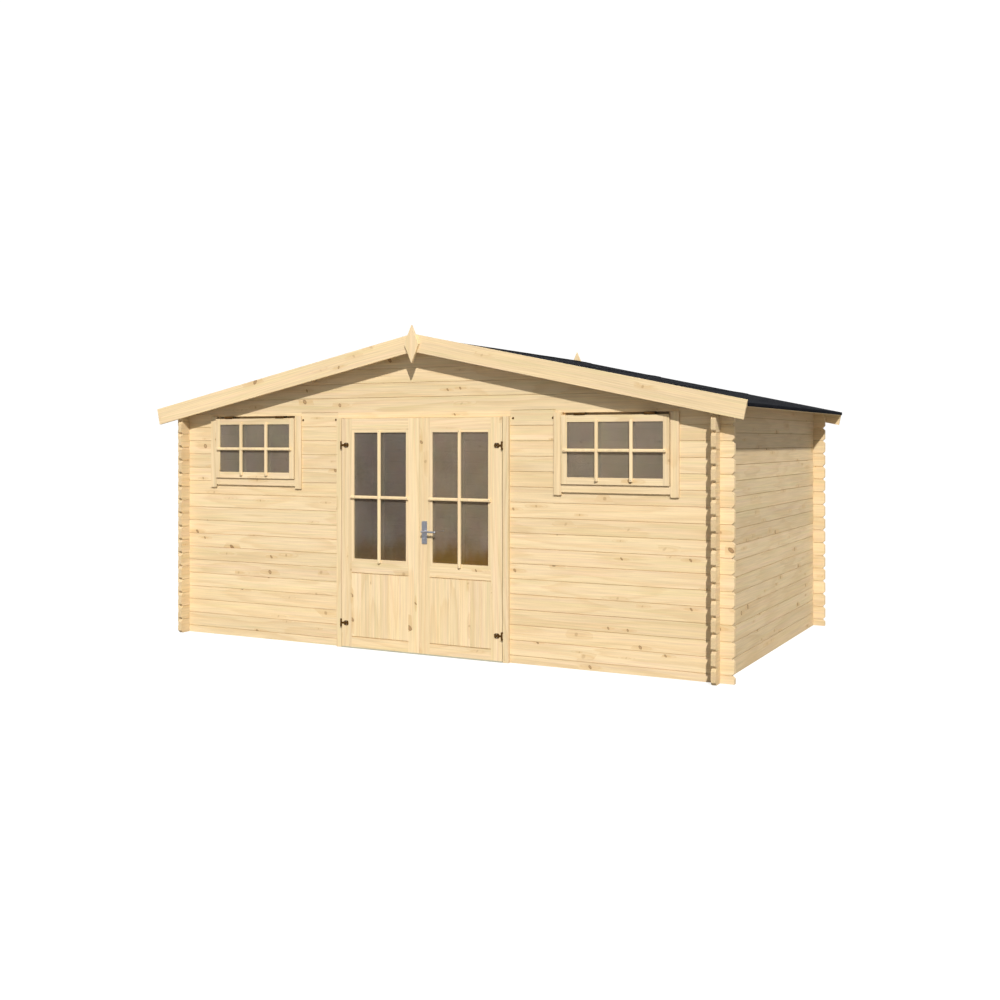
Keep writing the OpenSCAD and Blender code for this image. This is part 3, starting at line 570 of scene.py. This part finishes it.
def dress(nodes, material, edge=0.0):
    """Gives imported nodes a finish, and eased edges where a size is given."""
    for name in nodes:
        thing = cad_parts[name]
        if not thing.material_slots:
            raise RuntimeError(name + " has no material slot")
        for slot in thing.material_slots:
            slot.material = material
        smooth_faces(thing.data)
        if edge:
            ease_edges(thing, edge)


class CABIN_OT_logs(bpy.types.Operator):
    """Finish the wall logs, each log with its own grain and knots"""

    bl_idname = "cabin.logs"
    bl_label = "Wall logs"

    def execute(self, context):
        sizes = context.scene.cabin_sizes
        course, half = sizes.course, sizes.course / 2
        looks = (
            ("long", lying_x, half, dict(seed=1.6), ["front_lintel_log", "front_gable_logs"]),
            ("lower", lying_x, half, dict(part=10.0, seed=2.0), ["front_left_lower_logs", "front_right_lower_logs"]),
            ("upper", lying_x, half, dict(part=WINDOW_X, seed=3.0),
             ["front_left_corner_logs", "front_right_corner_logs", "front_left_pier_logs", "front_right_pier_logs"]),
            # Painted shade: the left and right walls take a lower tone than the front so they read darker; the back
            # wall's tone is lower too.
            ("back", lying_x, half, dict(seed=4.0, tone=0.92), ["back_wall_logs", "back_gable_logs"]),
            ("left", lying_y, 0.0, dict(seed=5.0, tone=0.88), ["left_wall_logs"]),
            ("right", lying_y, 0.0, dict(seed=6.0, tone=0.87), ["right_wall_logs"]),
        )
        for label, turn, origin, changes, nodes in looks:
            dress(nodes, timber("log_timber_" + label, turn, course, origin, **changes), sizes.edge)
        bolts = bmesh.new()
        r, drop, inset = sizes.bolt_r, 0.066, 0.047
        dome = [(0, -0.002), (r * 0.97, -0.002), (r, 0.001), (r * 0.85, 0.0035), (r * 0.45, 0.0052), (0, 0.0056)]
        for label in ("left", "right"):
            low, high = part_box("front_" + label + "_pier_logs")
            for x in (low.x + inset, high.x - inset):
                turned(bolts, dome, lambda a, b, h: (x + a, WALL_Y - h, high.z - drop + b), 20)
        piece("pier_bolts", bolts, "cabin", bronzed_iron("bolt_iron"), smooth=True)
        return {"FINISHED"}


def roof_slope(sizes):
    """Run and fall of the slope per metre, the height of the boards' lower face at the ridge, and its length."""
    run, fall = math.cos(sizes.roof_pitch), math.sin(sizes.roof_pitch)
    ridge = DECK_HIGH.z - sizes.roof_board_t / run
    return run, fall, ridge, (DECK_HIGH.x - DECK_LOW.x - sizes.roof_board_t * fall) / run


class CABIN_OT_roof_boards(bpy.types.Operator):
    """Lay the tongued boards on both slopes, and finish the purlins under them"""

    bl_idname = "cabin.roof_boards"
    bl_label = "Roof boards"

    def execute(self, context):
        sizes = context.scene.cabin_sizes
        t, vee, gap = sizes.roof_board_t, sizes.board_vee, 0.0004
        run, fall, ridge, length = roof_slope(sizes)
        width = (DECK_HIGH.y - DECK_LOW.y) / sizes.roof_board_count
        board = timber("roof_timber_boards", sloping(sizes.roof_pitch, True), width, DECK_LOW.y, seed=7.0, tone=0.95,
                       paired=True)
        rng = random.Random(11)
        for side, label in SIDES:
            bm = bmesh.new()
            put = lambda y, w, s: (side * (DECK_LOW.x + s * run + w * fall), y, ridge - s * fall + w * run)
            for i in range(sizes.roof_board_count):
                y0 = DECK_LOW.y + i * width + gap
                y1 = y0 + width - 2 * gap
                outline = [(y0, vee), (y0 + vee, 0.0), (y1 - vee, 0.0), (y1, vee), (y1, t), (y0, t)]
                prism(bm, outline, put, 0.0, length - rng.uniform(0.0, 0.0015))
            piece(label + "_deck", bm, "cabin", board, FINE_EDGE, replaces=[label + "_roof_boards"])
        beam = timber("roof_timber_purlins", lying_y, 1.0, 0.0, seed=8.0, tone=0.95)
        dress(["purlins"], beam, sizes.edge)
        return {"FINISHED"}


class CABIN_OT_felt(bpy.types.Operator):
    """Lay the felt in lapped strips, with a ridge strip and clout nails"""

    bl_idname = "cabin.felt"
    bl_label = "Roofing felt"

    def execute(self, context):
        sizes = context.scene.cabin_sizes
        pitch, felt_t = sizes.roof_pitch, sizes.felt_t
        run, fall, ridge, slope = roof_slope(sizes)
        skin = mineral_felt("mineral_felt")
        bed = sizes.roof_board_t + 0.0004
        ridge_gap, cap_half, head_step = 0.012, 0.16, 0.1

        def spot(side, s, w, y):
            return Vector((side * (s * run + w * fall), y, ridge - s * fall + w * run))

        def rolling(s, y):
            broad = noise.noise(Vector((s * 3.1, y * 2.3, 4.0)))
            return 0.0011 * broad + 0.0004 * noise.noise(Vector((s * 13, y * 11, 9)))

        start, end = (corner.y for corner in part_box("right_roof_felt"))
        rows = [start + i * (end - start) / 60 for i in range(61)]
        laps = []
        for side, label in SIDES:
            sheets = bmesh.new()
            foot = slope
            order = 0
            while foot > 0.2:
                head = max(ridge_gap, foot - sizes.felt_width)
                lift = felt_t if order else 0.0
                steps = [head + (foot - head) * i / 26 for i in range(27)]
                line = []
                for s in steps:
                    over = max(0.0, 1.0 - (foot - s) / (sizes.felt_lap * 1.6))
                    line.append((s, bed + felt_t + lift * min(1.0, over * 2.6)))
                strands = []
                for y in rows:
                    strand = [spot(side, s, w + max(-0.0003, rolling(s, y)), y) for s, w in line]
                    if not order:
                        corner = strand[-1]
                        for turn in (0.35, 0.7, 1.0):
                            angle = turn * (math.pi / 2 - pitch) + pitch
                            strand.append(corner + Vector((side * felt_t * (math.sin(angle) - fall), 0,
                                                           -felt_t * (run - math.cos(angle)))))
                        drop = strand[-1]
                        for part in (0.5, 1.0):
                            strand.append(drop + Vector((0, 0, -part * (sizes.felt_lip - felt_t))))
                    strands.append(strand)
                sheet(sheets, strands)
                laps.append((side, foot))
                foot = head + sizes.felt_lap
                order += 1
                if head <= ridge_gap:
                    break
            made = piece(label + "_felt_strips", sheets, "cabin", skin, smooth=True,
                         replaces=[label + "_roof_felt"])
            self.thicken(made, felt_t)
        cap = bmesh.new()
        strands = []
        for y in rows:
            strand = []
            for i in range(-10, 11):
                s = abs(i) / 10 * cap_half
                side = LEFT if i < 0 else RIGHT
                strand.append(spot(side, s, bed + 2 * felt_t + 0.0006 + max(-0.0003, rolling(s + 3, y)), y))
            strand[10] = (strand[9] + strand[11]) / 2 + Vector((0, 0, 0.0012))
            strands.append(strand)
        sheet(cap, strands)
        made = piece("ridge_felt", cap, "cabin", skin, smooth=True)
        self.thicken(made, felt_t)

        heads = bmesh.new()
        r = sizes.clout_r
        head = [(0, -0.002), (r * 0.9, -0.002), (r, 0.0), (r * 0.75, 0.0012), (0, 0.0016)]
        rng = random.Random(5)
        spans = [(side, foot - 0.03, bed + 2 * felt_t) for side, foot in laps if foot < slope - 0.01]
        spans += [(side, 0.135, bed + 3 * felt_t) for side in (LEFT, RIGHT)]
        for side, s, w in spans:
            for i in range(30):
                y = DECK_LOW.y + 0.05 + i * head_step + rng.uniform(-0.012, 0.012)
                base = spot(side, s + rng.uniform(-0.004, 0.004), w, y)
                up = Vector((side * fall, 0, run))
                across = Vector((run, 0, -side * fall))
                put = lambda a, b, h: base + across * a + Vector((0, b, 0)) + up * h
                turned(heads, head, put, 8)
        piece("clout_nails", heads, "cabin", zinc("nail_zinc_roof", (0.085, 0.088, 0.095, 1.0)), smooth=True)
        return {"FINISHED"}

    @staticmethod
    def thicken(thing, t):
        """Gives a sheet of felt its thickness, downwards from its upper face."""
        body = thing.modifiers.new("Felt thickness", "SOLIDIFY")
        body.thickness = t * 0.9
        body.offset = -1.0
        up = sum(face.normal.z for face in thing.data.polygons)
        if up < 0:
            thing.data.flip_normals()


class CABIN_OT_trims(bpy.types.Operator):
    """Finish the barge boards and finials, and add the eave battens"""

    bl_idname = "cabin.trims"
    bl_label = "Roof trims"

    def execute(self, context):
        sizes = context.scene.cabin_sizes
        pitch = sizes.roof_pitch
        barge = timber("trim_timber_barge", sloping(pitch, False), 2.0, 1.0, seed=9.0, tone=1.02, warmth=0.2,
                       paired=True)
        dress(["barge_boards"], barge, 0.002)
        point = timber("trim_timber_finial", standing, 1.0, -0.5, seed=10.0, tone=1.02, warmth=0.2)
        dress(["finials"], point, 0.002)
        batten = timber("trim_timber_batten", lying_y, 1.0, 0.0, seed=11.0, tone=1.02)
        run, fall = roof_slope(sizes)[:2]
        tip_x, tip_z = DECK_HIGH.x - sizes.roof_board_t * fall + 0.001, DECK_LOW.z
        outline = [(0.0, 0.0004), (0.0, 0.009), (0.003, 0.012), (0.024, 0.012), (0.027, 0.009), (0.027, 0.0004)]
        for side, label in SIDES:
            put = lambda s, w, y: (side * (tip_x - s * run - w * fall), y, tip_z + s * fall - w * run)
            moulding(label + "_eave_batten", outline, put, DECK_LOW.y + 0.001, DECK_HIGH.y - 0.001, "cabin",
                     batten, 0.001)
        return {"FINISHED"}


class CABIN_OT_floor(bpy.types.Operator):
    """Lay the floor boards on their bearers"""

    bl_idname = "cabin.floor"
    bl_label = "Floor"

    def execute(self, context):
        sizes = context.scene.cabin_sizes
        count, vee, gap = sizes.floor_board_count, 0.0015, 0.0004
        width = (FLOOR_HIGH.x - FLOOR_LOW.x) / count
        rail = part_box("door_frame")[1]
        notch_x = rail.x + 0.006
        board = timber("floor_timber_boards", flat_y, width, FLOOR_LOW.x, seed=12.0, tone=0.9)
        bm = bmesh.new()
        put = lambda x, z, y: (x, y, z)
        low, high = FLOOR_LOW.z, FLOOR_HIGH.z
        for i in range(count):
            x0 = FLOOR_LOW.x + i * width + gap
            x1 = x0 + width - 2 * gap
            start = FLOOR_LOW.y
            if min(abs(x0), abs(x1)) < notch_x:
                start = rail.y + 0.001
            outline = [(x0, low), (x1, low), (x1, high - vee), (x1 - vee, high), (x0 + vee, high), (x0, high - vee)]
            prism(bm, outline, put, start, FLOOR_HIGH.y)
        piece("floor_planks", bm, "cabin", board, 0.0005, replaces=["floor_boards"])
        dress(["floor_bearers"], timber("floor_timber_bearers", lying_x, 1.0, -0.5, seed=13.0, tone=0.85), sizes.edge)
        return {"FINISHED"}


def bar_outline(width, thick):
    """Section of a glazing bar with its two outer edges moulded."""
    half, soft = width / 2, thick * 0.4
    return [(-half, 0.0), (half, 0.0), (half, thick - soft), (half - soft * 0.3, thick - soft * 0.3),
            (half - soft, thick), (soft - half, thick), (soft * 0.3 - half, thick - soft * 0.3), (-half, thick - soft)]


def add_bars(bm, sizes, box, posts, level, face, out):
    """Adds upright bars at posts and one level bar in lengths between them, on a face that looks towards out."""
    x0, x1, z0, z1 = box
    lap, thick = sizes.bar_lap, sizes.bar_t
    section = bar_outline(sizes.bar_w, thick)
    upright = lambda a, b, c: (a + post, face + out * b, c)
    lying = lambda a, b, c: (c, face + out * b, a + level)
    for post in posts:
        prism(bm, section, upright, z0 - lap, z1 + lap * 0.6)
    half = sizes.bar_w / 2 + 0.0003
    stops = [x0 - lap] + [v for post in sorted(posts) for v in (post - half, post + half)] + [x1 + lap]
    for start, end in zip(stops[::2], stops[1::2]):
        prism(bm, section, lying, start, end)


def add_heads(bm, radius, places, out):
    """Adds low domed heads at places on a face that looks along Y."""
    profile = [(0, -0.001), (radius * 0.96, -0.001), (radius, 0.0003), (radius * 0.6, 0.0009), (0, 0.0011)]
    for px, py, pz in places:
        turned(bm, profile, lambda a, b, h: (px + a, py + out * h, pz + b))


def glaze(name, body, woods, box, posts, level, top_nails=False):
    """Plants bars of two woods on the two faces of a leaf or sash. Gives the mesh work of the nails in their ends."""
    sizes = bpy.context.scene.cabin_sizes
    x0, x1, z0, z1 = box
    inset = sizes.bar_lap * 0.6
    tips = [(post, z0 - inset) for post in posts] + [(x0 - inset, level), (x1 + inset, level)]
    if top_nails:
        tips += [(post, z1 + inset / 2) for post in posts]
    heads = bmesh.new()
    for kind, wood, (face, out) in zip(("_bars", "_inner_bars"), woods, BAR_FACES):
        bm = bmesh.new()
        add_bars(bm, sizes, box, posts, level, face, out)
        piece(name + kind, bm, body, wood, FINE_EDGE)
        add_heads(heads, sizes.nail_r, [(x, face + out * sizes.bar_t, z) for x, z in tips], out)
    return heads


class CABIN_OT_doors(bpy.types.Operator):
    """Finish the door leaves and their frame, and plant the glazing bars on the leaves"""

    bl_idname = "cabin.doors"
    bl_label = "Doors"

    def execute(self, context):
        sizes = context.scene.cabin_sizes
        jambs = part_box("door_threshold")[1].x - 0.021
        doorway = timber("trim_timber_doorway", framed(0.0, jambs), 0.3, -0.05, seed=14.0, warmth=0.2, paired=True,
                         painted_side_shade=0.14)
        dress(["door_frame"], doorway, sizes.edge)
        stile = timber("leaf_timber_stiles", standing, 0.30, -0.6, seed=15.0, warmth=0.4, painted_side_shade=0.2)
        rail = timber("leaf_timber_rails", lying_x, 0.30, -0.05, part=0.365 * 2, seed=16.0, warmth=0.3)
        panel_low, panel_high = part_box("right_door_panel")
        width = (panel_high.x - panel_low.x) / 6
        boards = dict(knots=0.8, tone=1.02, warmth=0.25)
        panels = {
            "left": timber("leaf_timber_panel_left", standing, width, -panel_low.x % width, seed=18.0, **boards),
            "right": timber("leaf_timber_panel", standing, width, panel_low.x % width, seed=17.0, **boards),
        }
        inner = (BEADS_HIGH.x - BEADS_LOW.x) / 2 - BEAD_W
        bead = timber("leaf_timber_beads", framed(LEAF_X, inner), 1.0, -0.5, seed=19.0, knots=0.2, warmth=0.2,
                      painted_side_shade=0.2)
        colours = context.scene.cabin_colours
        # Each door's pane colours: haze with painted reflection above, painted reflection of the ground below, changing
        # between two heights.
        pane_colours = {"left": (colours.left_glass, colours.left_glass_foot_reflection),
                 "right": (colours.right_glass, colours.right_glass_foot_reflection)}
        reflection_fade_low, reflection_fade_high = 0.74, 0.93
        sweep = satin_steel("threshold_sweep", colours.threshold, 6.0, 900.0, 0.0)
        bar = timber("leaf_timber_bars", framed(LEAF_X, -1.0), 0.05, 0.0, seed=20.0, knots=0.0, tone=1.06, warmth=0.1)
        # Painted shade: the inner bars take a low tone so they read as shaded through the glass.
        inner_bar = timber("leaf_timber_inner_bars", framed(LEAF_X, -1.0), 0.05, 0.0, seed=24.0, knots=0.0, tone=0.68)
        z0, z1 = BEADS_LOW.z + BEAD_W, BEADS_HIGH.z - BEAD_W
        level = (z0 + z1) / 2 - 0.0105
        foot = STILES_LOW.z + 0.0006
        sweep_outline = [(0.001, 0.0055), (0.009, 0.0055), (0.010, foot), (0.0, foot)]
        for side, label in SIDES:
            door = label + "_door"
            for kind, wood in (("_stiles", stile), ("_rails", rail), ("_beads", bead)):
                dress([door + kind], wood, FINE_EDGE)
            dress([door + "_panel"], panels[label], 0.0008)
            dress([door + "_glass"], pane_glass("glass_" + door, *pane_colours[label], reflection_fade_low, reflection_fade_high))
            centre = side * LEAF_X
            box = (centre - inner, centre + inner, z0, z1)
            nails = glaze(door, door, (bar, inner_bar), box, [centre], level, True)
            piece(door + "_nails", nails, door, zinc("nail_zinc_" + label), smooth=True)
            put = lambda b, c, a: (side * a, FRONT_Y + b, c)
            moulding(door + "_sweep", sweep_outline, put, STILES_LOW.x + 0.002, STILES_HIGH.x - 0.002, door,
                     sweep)
        lip = -STILES_LOW.x - 0.0002
        outline = [(lip, 0.0006), (0.0005, 0.0006), (0.0008, 0.0012), (0.0008, 0.010), (lip, 0.010)]
        put = lambda a, b, c: (a, FRONT_Y + b, c)
        moulding("meeting_lip", outline, put, STILES_LOW.z + 0.0005, STILES_HIGH.z - 0.0005, "left_door",
                 stile)
        outline = [(0.0005, -0.0003), (0.010, -0.0003), (0.010, 0.0034), (0.0015, 0.0034), (0.0005, 0.0024)]
        put = lambda b, c, a: (a, WALL_Y + b, STILES_HIGH.z + 0.005 - c)
        moulding("door_head_strip", outline, put, -jambs - 0.018, jambs + 0.018, "cabin", rail)
        return {"FINISHED"}


class CABIN_OT_windows(bpy.types.Operator):
    """Finish the window frames, sashes and panes, plant the glazing bars, and lay a dark strip of painted shade in the
    slots
    """

    bl_idname = "cabin.windows"
    bl_label = "Windows"

    def execute(self, context):
        sizes = context.scene.cabin_sizes
        stile_w, foot_w, head_w, post_x, slot_shade_in = 0.047, 0.051, 0.050, 0.133, 0.022
        outer = (SASH_HIGH.x - SASH_LOW.x) / 2
        inner = outer - stile_w
        frame_wood = timber("trim_timber_windows", framed(WINDOW_X, outer + 0.002), 0.25, -0.08, part=1.1, seed=21.0,
                            warmth=0.2, tone=0.98, painted_side_shade=0.14)
        sash_wood = timber("trim_timber_sashes", framed(WINDOW_X, inner), 0.25, -0.08, part=1.1, seed=22.0,
                           warmth=0.15, tone=0.98, painted_side_shade=0.2)
        bar = timber("trim_timber_bars", standing, 0.1, 0.0, seed=23.0, knots=0.0, tone=1.06, warmth=0.1)
        # Painted shade: the inner bars take a low tone so they read as shaded through the glass.
        inner_bar = timber("trim_timber_inner_bars", standing, 0.1, 0.0, seed=25.0, knots=0.0, tone=0.68)
        # The windows' pane tone is partly haze and partly painted reflection and room view, set apart from the doors'
        # tones.
        tint = context.scene.cabin_colours.window_glass
        glass = pane_glass("glass_windows", tint, tint, 1.1, 1.5)
        # Painted shade: a dark strip at the back of the slot over each sash makes the slot read as deep shade.
        slot_shade_wood = timber("trim_timber_slot_shade", lying_x, 1.0, 0.0, seed=26.0, knots=0.0, tone=0.34)
        slot_back = WALL_Y + sizes.slot_d - 0.0004
        slot_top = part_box("right_window_frame")[1].z - 0.0005
        slot_foot = SASH_HIGH.z + 0.0003
        slot_shade_outline = [(0.0, slot_foot), (-0.008, slot_foot), (-0.006, SASH_HIGH.z + 0.009), (-0.004, slot_top),
                (0.0, slot_top)]
        put = lambda b, c, a: (a, slot_back + b, c)
        z0, z1 = SASH_LOW.z + foot_w, SASH_HIGH.z - head_w
        level = (z0 + z1) / 2 - 0.004
        for side, label in SIDES:
            window = label + "_window"
            dress([window + "_frame"], frame_wood, sizes.edge)
            dress([window + "_sash"], sash_wood, 0.002)
            dress([window + "_glass"], glass)
            centre = side * WINDOW_X
            box = (centre - inner, centre + inner, z0, z1)
            posts = [centre - post_x, centre + post_x]
            nails = glaze(window, "cabin", (bar, inner_bar), box, posts, level)
            # Lays the dark strip of painted shade in the slot.
            moulding(window + "_slot_shade", slot_shade_outline, put, centre - outer + slot_shade_in, centre + outer - slot_shade_in, "cabin",
                     slot_shade_wood)
            piece(window + "_nails", nails, "cabin", zinc("nail_zinc_sash_" + label), smooth=True)
        return {"FINISHED"}


class CABIN_OT_ironwork(bpy.types.Operator):
    """Finish the hinges, the handle and the threshold, and add screws, bolts and the lock cylinder"""

    bl_idname = "cabin.ironwork"
    bl_label = "Ironwork"

    def execute(self, context):
        sizes = context.scene.cabin_sizes
        colours = context.scene.cabin_colours
        iron = bronzed_iron("hinge_iron")
        dress(["door_hinge_pins", "left_door_straps", "right_door_straps"], iron, FINE_EDGE)
        dress(["window_hinges"], iron)
        steel = satin_steel("handle_steel", colours.steel, 40.0, 900.0)
        dress(["handle_plates"], steel, 0.0012)
        dress(["door_lever"], satin_steel("lever_steel", colours.steel, 60.0, 700.0))
        dress(["door_threshold"], satin_steel("threshold_metal", colours.threshold, 6.0, 900.0, 0.0), 0.0008)

        screws = zinc("screw_zinc")
        middle = (PLATES_LOW + PLATES_HIGH) / 2
        cylinder = [(0, -0.001), (0.0085, -0.001), (0.0085, 0.0022), (0.0079, 0.0028), (0.0052, 0.0028),
                    (0.0048, 0.0020), (0, 0.0020)]
        screw_in, lock_drop = 0.014, 0.045
        heads, lock = bmesh.new(), bmesh.new()
        for face, out in ((PLATES_LOW.y, -1), (PLATES_HIGH.y, 1)):
            places = [(middle.x, face, z) for z in (PLATES_LOW.z + screw_in, PLATES_HIGH.z - screw_in)]
            add_heads(heads, sizes.screw_r, places, out)
            put = lambda a, b, h: (middle.x + a, face + out * h, middle.z - lock_drop + b)
            turned(lock, cylinder, put, 24)
        piece("handle_screws", heads, "right_door", steel, smooth=True)
        piece("lock_cylinder", lock, "right_door", steel, smooth=True)
        bolt = [(0, 0.0), (0.0056, 0.0), (0.0056, 0.0034), (0.0062, 0.0036), (0.0060, 0.0044), (0.0042, 0.0056),
                (0, 0.0062)]
        eye_in, eye_up, screw_up, strap_t = 0.022, 0.019, 0.0125, 0.0033
        for side, label in SIDES:
            heads, bolts = bmesh.new(), bmesh.new()
            low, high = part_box(label + "_door_straps")
            eye_x = low.x + eye_in if side > 0 else high.x - eye_in
            for z in (STRAPS_LOW.z + eye_up, STRAPS_HIGH.z - eye_up):
                places = [(eye_x, FRONT_Y - strap_t, z + up) for up in (-screw_up, screw_up)]
                add_heads(heads, sizes.screw_r, places, -1)
                put = lambda a, b, h: (eye_x + a * 1.55, FRONT_Y - 0.0003 - h, z + b)
                turned(bolts, bolt, put, 20)
            piece(label + "_strap_screws", heads, label + "_door", screws, smooth=True)
            piece(label + "_strap_bolts", bolts, label + "_door", iron, smooth=True)
        return {"FINISHED"}


class CABIN_OT_stage(bpy.types.Operator):
    """Set up the pale floor, the light and the camera"""

    bl_idname = "cabin.stage"
    bl_label = "Stage"

    def execute(self, context):
        scene = context.scene
        scene.view_settings.view_transform = "Standard"
        bm = bmesh.new()
        half = 200
        bm.faces.new([bm.verts.new((x * half, y * half, 0.0)) for x, y in ((-1, -1), (1, -1), (1, 1), (-1, 1))])
        floor = mesh_object("studio_floor", bm, self.floor_finish(scene.cabin_colours.floor))
        floor.location.z = -0.0005

        key = self.add_light("key_light", "SUN", 3.80, angle=math.radians(1.5), color=(1.0, 0.98, 0.95))
        key.rotation_euler = self.shining_from(0.93, -1.40, 1.28)
        fill = self.add_light("fill_light", "SUN", 1.5, angle=math.radians(30))
        fill.rotation_euler = self.shining_from(-0.75, 1.20, 0.42)
        fill.visible_glossy = False
        room = self.add_light("room_light", "POINT", 12.0, shadow_soft_size=0.35)
        room.location = (0.0, 0.15, 1.75)

        air = Paint("studio_air", "worlds")
        glossy, seen = air.node("ShaderNodeLightPath", None, None, ("Is Glossy Ray", "Is Camera Ray"))
        tints = (((1.0, 0.985, 0.96, 1.0), 0.335), ((0.97, 0.98, 1.0, 1.0), 0.8), ((1.0, 1.0, 1.0, 1.0), 1.05))
        lit, shine, backdrop = [air.node("ShaderNodeBackground", None, {"Color": tint, "Strength": strength})
                                for tint, strength in tints]
        for ray, other in ((glossy, shine), (seen, backdrop)):
            lit = air.node("ShaderNodeMixShader", None, {0: ray, 1: lit, 2: other})
        air.node("ShaderNodeOutputWorld", None, {"Surface": lit}, ())
        scene.world = air.owner

        lens = bpy.data.cameras.new("photo_view")
        lens.sensor_width = 36.0
        lens.lens = 41.323
        lens.shift_x = -0.02912
        lens.shift_y = -0.05955
        lens.clip_end = 500.0
        camera = add_object("photo_view", lens)
        camera.location = (4.7684, -8.9748, 1.6573)
        camera.rotation_euler = (math.radians(90), 0.0, math.radians(26.808))
        scene.camera = camera
        return {"FINISHED"}

    @staticmethod
    def add_light(name, kind, energy, **settings):
        """Adds a light and its settings."""
        data = bpy.data.lights.new(name, kind)
        data.energy = energy
        for key, value in settings.items():
            setattr(data, key, value)
        return add_object(name, data)

    @staticmethod
    def shining_from(x, y, z):
        """The turn of a sun that shines from this side."""
        return Vector((x, y, z)).to_track_quat("Z", "Y").to_euler()

    @staticmethod
    def floor_finish(tint):
        """Matt pale floor, seen bright and giving back little light of its own."""
        paint = Paint("studio_floor")
        x, y, z = paint.place()
        seen = paint.node("ShaderNodeLightPath", None, None, "Is Camera Ray")
        speck = paint.cloud(x * 30.0, y * 30.0, z, 2.0)
        colour = paint.shade(rgba(tint), 0.97 + 0.06 * speck)
        glow = paint.mix(seen, (0.0, 0.0, 0.0, 1.0), (1.0, 1.0, 1.0, 1.0))
        return paint.surface(Base_Color=colour, Roughness=0.9, Specular_IOR_Level=0.1,
                             Emission_Color=glow, Emission_Strength=0.76)


class CABIN_PT_panel(bpy.types.Panel):
    """Lists the cabin's pieces in the sidebar"""

    bl_label = "Log cabin"
    bl_space_type = "VIEW_3D"
    bl_region_type = "UI"
    bl_category = "Cabin"

    def draw(self, context):
        for operator in OPERATORS:
            self.layout.operator(operator.bl_idname)
        for group in (context.scene.cabin_sizes, context.scene.cabin_colours):
            box = self.layout.box()
            for key in group.__annotations__:
                box.prop(group, key)


OPERATORS = (CABIN_OT_stage, CABIN_OT_logs, CABIN_OT_roof_boards, CABIN_OT_felt, CABIN_OT_trims, CABIN_OT_floor,
             CABIN_OT_doors, CABIN_OT_windows, CABIN_OT_ironwork)
CLASSES = (CabinSizes, CabinColours) + OPERATORS + (CABIN_PT_panel,)


def register():
    """Adds the classes and the settings on the scene."""
    for cls in CLASSES:
        bpy.utils.register_class(cls)
    bpy.types.Scene.cabin_sizes = bpy.props.PointerProperty(type=CabinSizes)
    bpy.types.Scene.cabin_colours = bpy.props.PointerProperty(type=CabinColours)


def unregister():
    """Takes the settings and the classes away again."""
    del bpy.types.Scene.cabin_colours
    del bpy.types.Scene.cabin_sizes
    for cls in reversed(CLASSES):
        bpy.utils.unregister_class(cls)


def main():
    """Builds every piece in order."""
    register()
    bpy.ops.cabin.stage()
    bpy.ops.cabin.logs()
    bpy.ops.cabin.roof_boards()
    bpy.ops.cabin.felt()
    bpy.ops.cabin.trims()
    bpy.ops.cabin.floor()
    bpy.ops.cabin.doors()
    bpy.ops.cabin.windows()
    bpy.ops.cabin.ironwork()
    bpy.context.view_layer.update()


if __name__ == "__main__":
    main()
